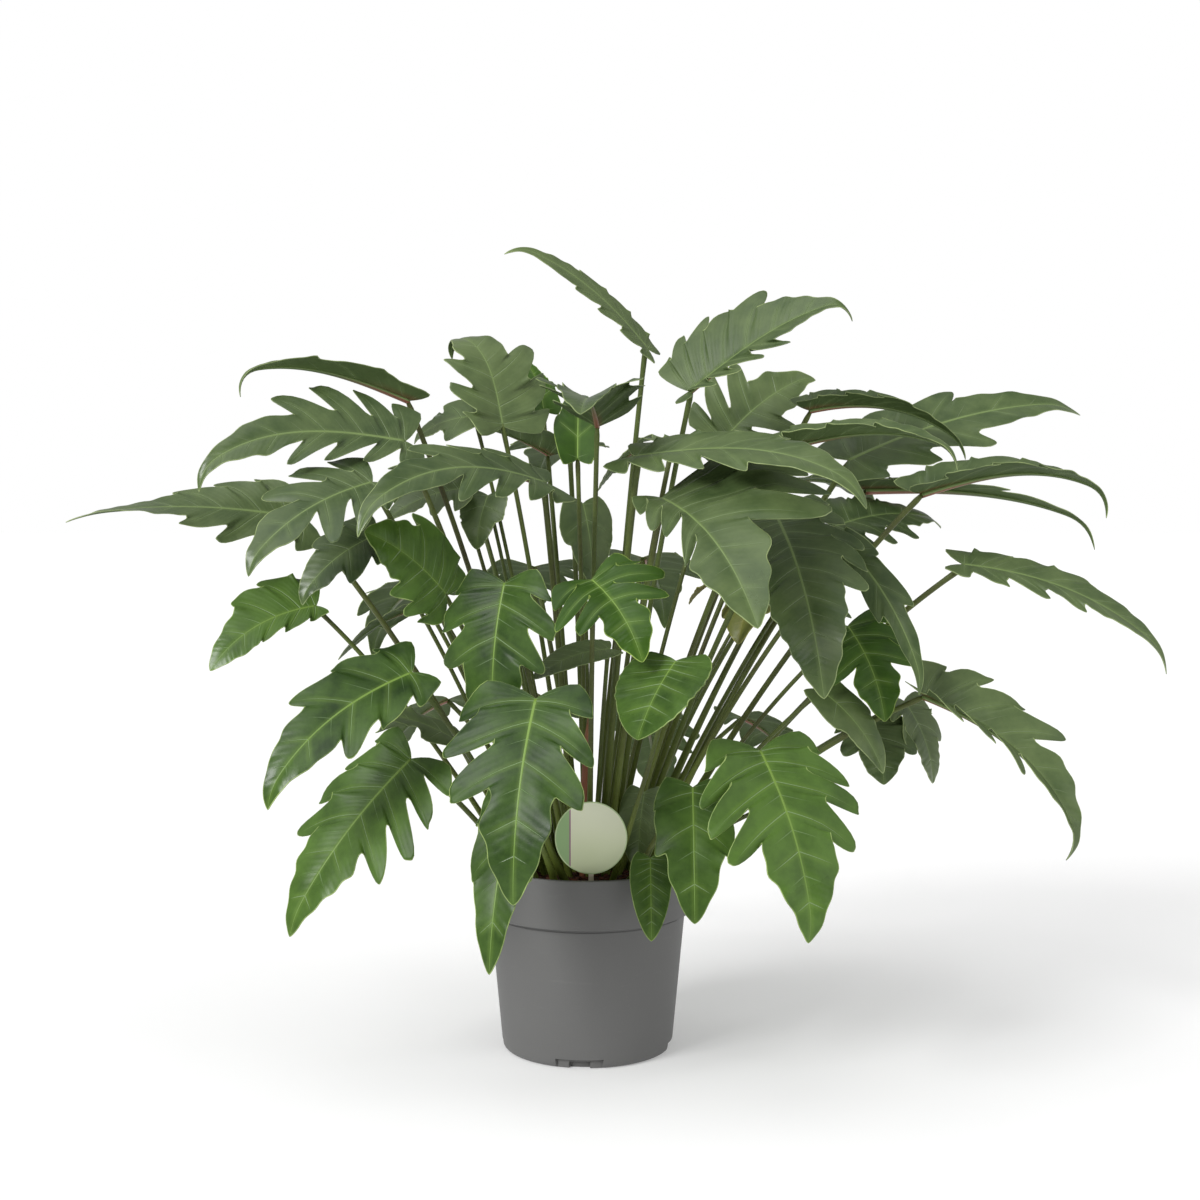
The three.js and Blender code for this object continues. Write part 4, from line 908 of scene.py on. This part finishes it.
def makeSheath():
    # a spindle on a straight axis, rolled so that one edge laps over the other by a small step
    root = np.array([*feet["next_leaf_sheath"], stalks["soilLevel"] - stalks["rootDepth"]])
    axis = np.array(sheath["tip"], float) - root
    share = np.linspace(0, 1, sheath["rings"])
    radius = sheath["radius"] * np.interp(share, sheath["places"], sheath["widths"])
    radius = np.concatenate([[0], radius, [0]])  # closed at both ends
    turn = around(sheath["sides"])
    rolled = 0.9 + sheath["lap"] * turn / tau - 0.02 * np.cos(3 * turn)
    over = unit(np.cross(axis, [1, 0, 0]))
    side = unit(np.cross(over, axis))
    ring = np.cos(turn)[:, None] * side + np.sin(turn)[:, None] * over
    middle = root + np.concatenate([[0], share, [1]])[:, None, None] * axis
    points = middle + (radius[:, None] * rolled)[..., None] * ring
    patch = gridPatch(points, **tubeMarks(share, sheath["sides"]))
    return buildPiece("rolled_sheath", [patch], [sheathSurface()], "next_leaf_sheath")


makeSheath()
print("sheath done")


pot = {
    "height": 184, "rim": 105, "lip": 4.5, "wall": 2.5, "floor": 3,
    "band": 47, "bandFoot": 104.5, "body": 97, "base": 84, "baseRound": 7, "hollow": 22,
    "groove": 0.6, "grooveTop": 1.0, "grooveFoot": 3.4,
    "notches": 4, "notchTurn": -5, "notchWidth": 46, "notchHeight": 9, "notchDepth": 3,
    "drainWidth": 21, "drainHeight": 6.5, "drainDepth": 9,
    "levels": [30, 70, 105],    # rows on the body
    "sides": 288,
}


def potSurface():
    # polypropylene, injection moulded in a spark-etched mould: an even matt grey with a fine grain, and
    # faint rubbed marks round the body; shade is painted into the groove under the rim band
    material, add = newMaterial("mouldedPolypropylene")
    where = add("TexCoord").outputs["Object"]
    etched = add("TexNoise", {"Vector": where, "Scale": 900.0, "Detail": 3.0})
    cloud = add("TexNoise", {"Vector": where, "Scale": 9.0, "Detail": 4.0})
    flat = add("Mapping", {"Vector": where, "Scale": (1, 1, 7)})
    rubbed = add("TexNoise", {"Vector": flat, "Scale": 26.0, "Detail": 6.0, "Roughness": 0.7})
    rubbed = add("MapRange", {"Value": rubbed, "From Min": 0.6, "From Max": 0.74}, **eased)
    pits = add("Math", {0: etched, 1: 0.3, 2: -0.1}, operation="MULTIPLY_ADD", use_clamp=True)
    # painted shade: the groove under the rim band is darkened where the band's ledge keeps light off the body
    up = add("SeparateXYZ", {0: where}).outputs[2]
    groove = mm * (pot["height"] - pot["band"] - (pot["grooveTop"] + pot["grooveFoot"]) / 2)
    tall = mm * (pot["grooveFoot"] - pot["grooveTop"]) / 2
    depth = add("Math", {0: up, 1: groove, 2: tall}, operation="COMPARE")
    # the last layer is the painted shade in the groove
    layers = [
        (cloud, 1.0, "#646463"), (pits, 1.0, "#6f6f6e"), (rubbed, 0.12, "#8a8a88"), (depth, 0.15, "#3a3a39"),
    ]
    closeMaterial(add, {
        "Base Color": paintOver(add, "#5b5b5a", layers), "IOR": 1.49,
        "Roughness": add("Math", {0: cloud, 1: 0.12, 2: 0.46}, operation="MULTIPLY_ADD"),
        "Normal": add("Bump", {"Strength": 0.6, "Distance": mm * 0.12, "Height": etched}),
    })
    return material


def rounded(corners, steps=6):
    # a profile of corners, each given as radius, height and the size of the arc that takes its place: a
    # quadratic curve between the arc's ends
    spots = np.array(corners, float)[:, :2]
    t = np.linspace(0, 1, steps)[:, None]
    parts = []
    for k, (spot, size) in enumerate(zip(spots, [corner[2] for corner in corners])):
        if size == 0:
            parts.append(spot[None])
            continue
        first, last = (spot + unit(spots[near] - spot) * size for near in (k - 1, k + 1))
        parts.append(first * (1 - t) ** 2 + 2 * spot * t * (1 - t) + last * t ** 2)
    return np.concatenate(parts)


def potProfile():
    # the wall's profile, from the middle of its underside up the outside, over the rim and down to the
    # floor, and how many of its points belong to the foot and the body
    rim, bandFoot, body, base, wall = (pot[key] for key in ("rim", "bandFoot", "body", "base", "wall"))
    top, foot, deck = pot["height"], pot["height"] - pot["band"], pot["drainHeight"] + pot["floor"]
    low, high = foot - pot["grooveFoot"], foot - pot["grooveTop"]
    profile = rounded([
        (0, 0, 0), (base - pot["hollow"], 0, 0), (base, 0, pot["baseRound"]), (body, low - 0.8, 0.3),
        (body - pot["groove"], low, 0.3), (body - pot["groove"], high, 0.3), (bandFoot, foot, 0.8),
        (rim, top, 1.2), (rim - pot["lip"], top, 1.2), (bandFoot - wall - 1.5, foot + 4, 3),
        (body - wall, foot - 5, 3), (base - wall, deck, 4), (0, deck, 0),
    ])
    # rows at the recess's and slot's upper edges keep them crisp
    bodyFoot = np.flatnonzero(np.diff(profile[:, 1]) > 20)[0]
    low, high = profile[bodyFoot:bodyFoot + 2]
    drain, notch = pot["drainHeight"], pot["notchHeight"]
    levels = (drain - 0.2, drain + 0.2, notch - 0.3, notch + 0.3, *pot["levels"])
    added = [low + (high - low) * (z - low[1]) / (high[1] - low[1]) for z in levels if z > low[1] + 0.1]
    profile = np.concatenate([profile[:bodyFoot + 1], added, profile[bodyFoot + 1:]])
    return profile, bodyFoot + 1 + len(added)


def makePot():
    # the profile turned round the axis; in the foot the wall is pressed in to each recess and slot
    profile, onBody = potProfile()
    base = pot["base"]
    middles = [math.radians(pot["notchTurn"] - 90 + 360 * k / pot["notches"]) for k in range(pot["notches"])]
    swings = [pot[part] / 2 / base + gap for part in ("notchWidth", "drainWidth") for gap in (-0.004, 0.004)]
    turn = np.array([middle + side * swing for middle in middles for swing in swings for side in (-1, 1)])
    even = np.linspace(-math.pi, math.pi, pot["sides"], endpoint=False)
    turn = np.unique(np.concatenate([even, (turn + math.pi) % tau - math.pi]))
    radius, height = (np.broadcast_to(line[:, None], (len(line), len(turn))) for line in profile.T)
    outside = np.arange(len(profile))[:, None] < onBody
    for middle in middles:
        apart = np.abs((turn - middle + math.pi) % tau - math.pi)
        for part in ("notch", "drain"):
            pressed = outside & (apart < pot[part + "Width"] / 2 / base) & (height < pot[part + "Height"])
            radius = np.where(pressed, np.minimum(radius, base - pot[part + "Depth"]), radius)
    points = np.stack([radius * np.cos(turn), radius * np.sin(turn), height], axis=-1)
    return buildPiece("nursery_pot", [gridPatch(points)], [potSurface()], "pot", sharpFrom=40)


makePot()
print("pot done")


soil = {
    "level": stalks["soilLevel"],
    "flat": 84, "edgeDrop": 4,      # level to this radius, then falling by so much to the wall
    "lumps": 2.2,
    "clearance": 0.35,              # between the soil and the pot
    "rings": 90, "sides": 220,
    "reach": 97,                    # radius within which loose bits lie
    "limit": 100.2,                 # and which none of them passes
    # how many, smallest and largest size, flatness, seed, darkest and lightest tone
    "crumbs": (1500, 0.9, 3.6, 0.8, 21, 0.0, 0.5),
    "chips": (260, 2.0, 6.5, 0.3, 47, 0.4, 0.95),
    "fibres": (320, 71),            # how many, seed
}


def soilSurface():
    # peat and bark potting soil: dark, damp and crumbly, with red-brown fibres and chips of bark
    material, add = newMaterial("peatPottingSoil")
    where = add("TexCoord").outputs["Object"]
    (tone, _, _), _ = leafMarks(add)
    patch = add("TexNoise", {"Vector": where, "Scale": 120.0, "Detail": 6.0, "Roughness": 0.7})
    grit = add("TexVoronoi", {"Vector": where, "Scale": 600.0})
    dark = add("MapRange", {"Value": patch, "From Min": 0.35, "From Max": 0.68}, **eased)
    layers = [(dark, 1.0, "#4a2c1f"), (tone, 1.0, "#7a4128"), (grit, 0.5, "#2a1a12")]
    rough = add("Math", {0: patch, 1: grit}, operation="ADD")
    closeMaterial(add, {
        "Base Color": paintOver(add, "#1d120d", layers), "IOR": 1.4, "Roughness": 0.9,
        "Normal": add("Bump", {"Strength": 0.9, "Distance": mm, "Height": rough}),
    })
    return material


def soilHeight(x, y):
    # level in the middle, falling to the pot's wall, with lumps of three sizes; mm
    fall = soil["edgeDrop"] * smooth((np.hypot(x, y) - soil["flat"]) / 14)
    lumps = 0.5 * patchyNoise(x + 300, y, 17, 3) + 0.35 * patchyNoise(x, y + 300, 6.5, 8)
    lumps = lumps + 0.2 * patchyNoise(x, y, 2.6, 12)
    return soil["level"] - fall + soil["lumps"] * (lumps - 0.25)


def scattered(count, seed):
    # places and numbers spread evenly over the soil's top
    index = np.arange(count)
    radius, turn = soil["reach"] * np.sqrt(draw(seed, index)), tau * draw(seed + 0.5, index)
    return radius * np.cos(turn), radius * np.sin(turn), lambda k: draw(seed + k, index)


def looseBits(points, cell, tone):
    # one patch of many small shapes: the points and the tone of each, and the triangles that all share
    first = np.arange(len(points)) * points[0].size // 3
    triangles = (first[:, None, None] + cell).reshape(-1, 3)
    mark = np.zeros((len(triangles), 3, 3))
    mark[..., 0] = np.repeat(tone, len(cell))[:, None]
    points = points.reshape(-1, 3) * mm
    return {"points": points, "triangles": triangles, "slot": 0, "leafPlace": mark, "leafEdge": mark * 0}


def crumbPatch(count, low, high, flatness, seed, toneLow, toneHigh):
    # small uneven lumps with twelve corners each, half sunk in the surface
    g = (1 + math.sqrt(5)) / 2  # golden ratio
    corners = np.array([
        (-1, g, 0), (1, g, 0), (-1, -g, 0), (1, -g, 0), (0, -1, g), (0, 1, g),
        (0, -1, -g), (0, 1, -g), (g, 0, -1), (g, 0, 1), (-g, 0, -1), (-g, 0, 1),
    ]) / 1.9
    faces = np.array([
        (0, 11, 5), (0, 5, 1), (0, 1, 7), (0, 7, 10), (0, 10, 11), (1, 5, 9), (5, 11, 4), (11, 10, 2),
        (10, 7, 6), (7, 1, 8), (3, 9, 4), (3, 4, 2), (3, 2, 6), (3, 6, 8), (3, 8, 9), (4, 9, 5), (2, 4, 11),
        (6, 2, 10), (8, 6, 7), (9, 8, 1),
    ])
    x, y, drawn = scattered(count, seed)
    size = low + (high - low) * drawn(1) ** 2.5
    # the larger ones lie further in, clear of the pot's wall
    inward = np.minimum(1, (soil["limit"] - 1.25 * size) / np.maximum(np.hypot(x, y), 1e-6))
    x, y = x * inward, y * inward
    uneven = 0.75 + 0.5 * draw(seed, np.arange(count * 12).reshape(count, 12))
    shape = corners * uneven[..., None] * size[:, None, None] * np.array([1, 0.7, flatness])
    cos, sin = (part(tau * drawn(2))[:, None] for part in (np.cos, np.sin))
    across = shape[..., 0] * cos - shape[..., 1] * sin
    deep = shape[..., 0] * sin + shape[..., 1] * cos
    up = shape[..., 2] + across * (drawn(3)[:, None] - 0.5) * 0.8 + 0.2 * size[:, None] * flatness
    points = np.stack([x[:, None] + across, y[:, None] + deep, soilHeight(x, y)[:, None] + up], axis=-1)
    return looseBits(points, faces, toneLow + (toneHigh - toneLow) * drawn(4))


def fibrePatch(count, seed):
    # thin curved strands of three sides, lying on the soil and arching off it in the middle
    x, y, drawn = scattered(count, seed)
    steps = np.linspace(-0.5, 0.5, 8)
    length, turn, bend = 6 + 16 * drawn(1), tau * drawn(2), 2.4 * (drawn(3) - 0.5)
    angle = turn[:, None] + bend[:, None] * steps
    x = x[:, None] + length[:, None] * steps * np.cos(angle)
    y = y[:, None] + length[:, None] * steps * np.sin(angle)
    inside = np.minimum(1, soil["reach"] / np.maximum(np.hypot(x, y), 1e-6))
    x, y = x * inside, y * inside
    z = soilHeight(x, y) + 0.3 + (0.5 + 2.2 * drawn(5))[:, None] * (0.25 - steps ** 2) * 2
    side = np.stack([-np.sin(angle), np.cos(angle), 0 * angle], axis=-1)
    thin = (0.16 + 0.16 * drawn(6))[:, None, None] * np.cos(math.pi * steps * 0.98)[None, :, None]
    ring = [thin * (math.cos(a) * side + np.array([0, 0, math.sin(a)])) for a in around(3)]
    points = np.stack([x, y, z], axis=-1)[:, :, None] + np.stack(ring, axis=2)
    return looseBits(points, gridTriangles(len(steps), 3, wrapped=True), 0.6 + 0.4 * drawn(7))


def makeSoil():
    # the plug that fills the pot: its profile turned round the axis, its top raised in lumps
    wall, foot = pot["wall"] + soil["clearance"], pot["height"] - pot["band"]
    deck = pot["drainHeight"] + pot["floor"] + soil["clearance"]
    edge = pot["rim"] - pot["lip"] - soil["clearance"] - 0.9
    below = np.array([
        (0, deck), (pot["base"] - wall - 3.5, deck), (pot["base"] - wall - 0.4, deck + 3.5),
        (pot["body"] - wall - 0.4, foot - 5), (pot["bandFoot"] - wall - 2, foot + 4),
    ])
    radius = np.concatenate([below[:, 0], np.linspace(edge, 0, soil["rings"])])[:, None]
    turn = around(soil["sides"])
    x, y = radius * np.cos(turn), radius * np.sin(turn)
    z = soilHeight(x, y)
    z[:len(below)] = below[:, 1:]
    ground = gridPatch(np.stack([x, y, z], axis=-1), leafPlace=0.0, leafEdge=0.0)
    patches = [ground, crumbPatch(*soil["crumbs"]), crumbPatch(*soil["chips"]), fibrePatch(*soil["fibres"])]
    return buildPiece("potting_soil", patches, [soilSurface()], "soil")


makeSoil()
print("soil done")


tag = {
    "centre": (4, -88, 222), "radius": 34.5, "thickness": 0.8, "ring": 1.0, "raised": 0.1, "sides": 120,
    "stakeWidth": 5, "stakeLength": 74, "stakeStart": 12, "stakePoint": 10, "stakeRings": 30,
    "field": -20.5, "stripe": -19.2,    # where they end, from the middle
}


def tagSurface():
    # rigid polystyrene, glossy, printed in cream and pale green with a green field at one side
    material, add = newMaterial("printedPolystyrene")
    where = add("TexCoord").outputs["Object"]
    centre = tuple(mm * c for c in tag["centre"])
    across, _, up = add("SeparateXYZ", {
        0: add("VectorMath", {0: where, 1: centre}, operation="SUBTRACT"),
    }).outputs
    flat = add("CombineXYZ", {"X": across, "Y": up})
    radius = add("VectorMath", {0: flat}, operation="LENGTH").outputs["Value"]
    cloud = add("TexNoise", {"Vector": where, "Scale": 30.0, "Detail": 2.0})
    outer, foot = tag["radius"] - tag["ring"], -tag["radius"]
    field, stripe, lower, border, stake = (
        add("MapRange", {"Value": value, "From Min": mm * start, "From Max": mm * end}, **eased)
        for value, start, end in (
            (across, tag["field"], tag["field"] - 0.3), (across, tag["stripe"], tag["stripe"] - 0.3),
            (up, 30, -30), (radius, outer - 0.4, outer), (up, foot + 0.2, foot - 0.2),
        )
    )
    layers = [
        (lower, 1.0, "#c4cfa0"), (cloud, 0.35, "#d6dbc0"), (stripe, 1.0, "#8c5a78"),
        (field, 1.0, "#86a86e"), (border, 1.0, "#b4c994"), (stake, 1.0, "#d0c6b0"),
    ]
    closeMaterial(add, {"Base Color": paintOver(add, "#dcdfc4", layers), "IOR": 1.59, "Roughness": 0.28})
    return material


def makeTag():
    # a disc with a rounded edge and a shallow raised ring, and a slimmer stake that starts inside it
    centre = np.array(tag["centre"], float)
    outer, inner, half = tag["radius"], tag["radius"] - tag["ring"], tag["thickness"] / 2
    radius = np.array([0, 8, 16, 24, inner - 0.4, inner, outer - 0.5, outer - 0.12, outer])
    depth = np.array([half - tag["raised"]] * 5 + [half] * 2 + [half * 0.7, 0])
    radius = np.concatenate([radius, radius[-2::-1]])[:, None]
    depth = np.concatenate([-depth, depth[-2::-1]])[:, None]
    turn = around(tag["sides"])
    disc = threeMarks(radius * np.cos(turn), depth, radius * np.sin(turn)) + centre
    disc = gridPatch(disc, flipped=True)
    start, length = tag["stakeStart"], tag["stakeLength"]
    share = np.linspace(0, 1, tag["stakeRings"])
    path = centre + np.array([0, 0, -1]) * (start + (length - start) * share)[:, None]
    width = tag["stakeWidth"] / 2 * np.maximum(np.minimum(1, (1 - share) * length / tag["stakePoint"]), 0.05)
    stake = tubePatch(path, np.array([1.0, 0, 0]), width, half - 0.12, 12)
    return buildPiece("plain_tag", [disc, stake], [tagSurface()], "plant_tag", sharpFrom=35)


makeTag()
print("tag done")

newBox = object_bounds()
sizes = {"cad": [list(corner) for corner in cadBox], "visual": [list(corner) for corner in newBox]}
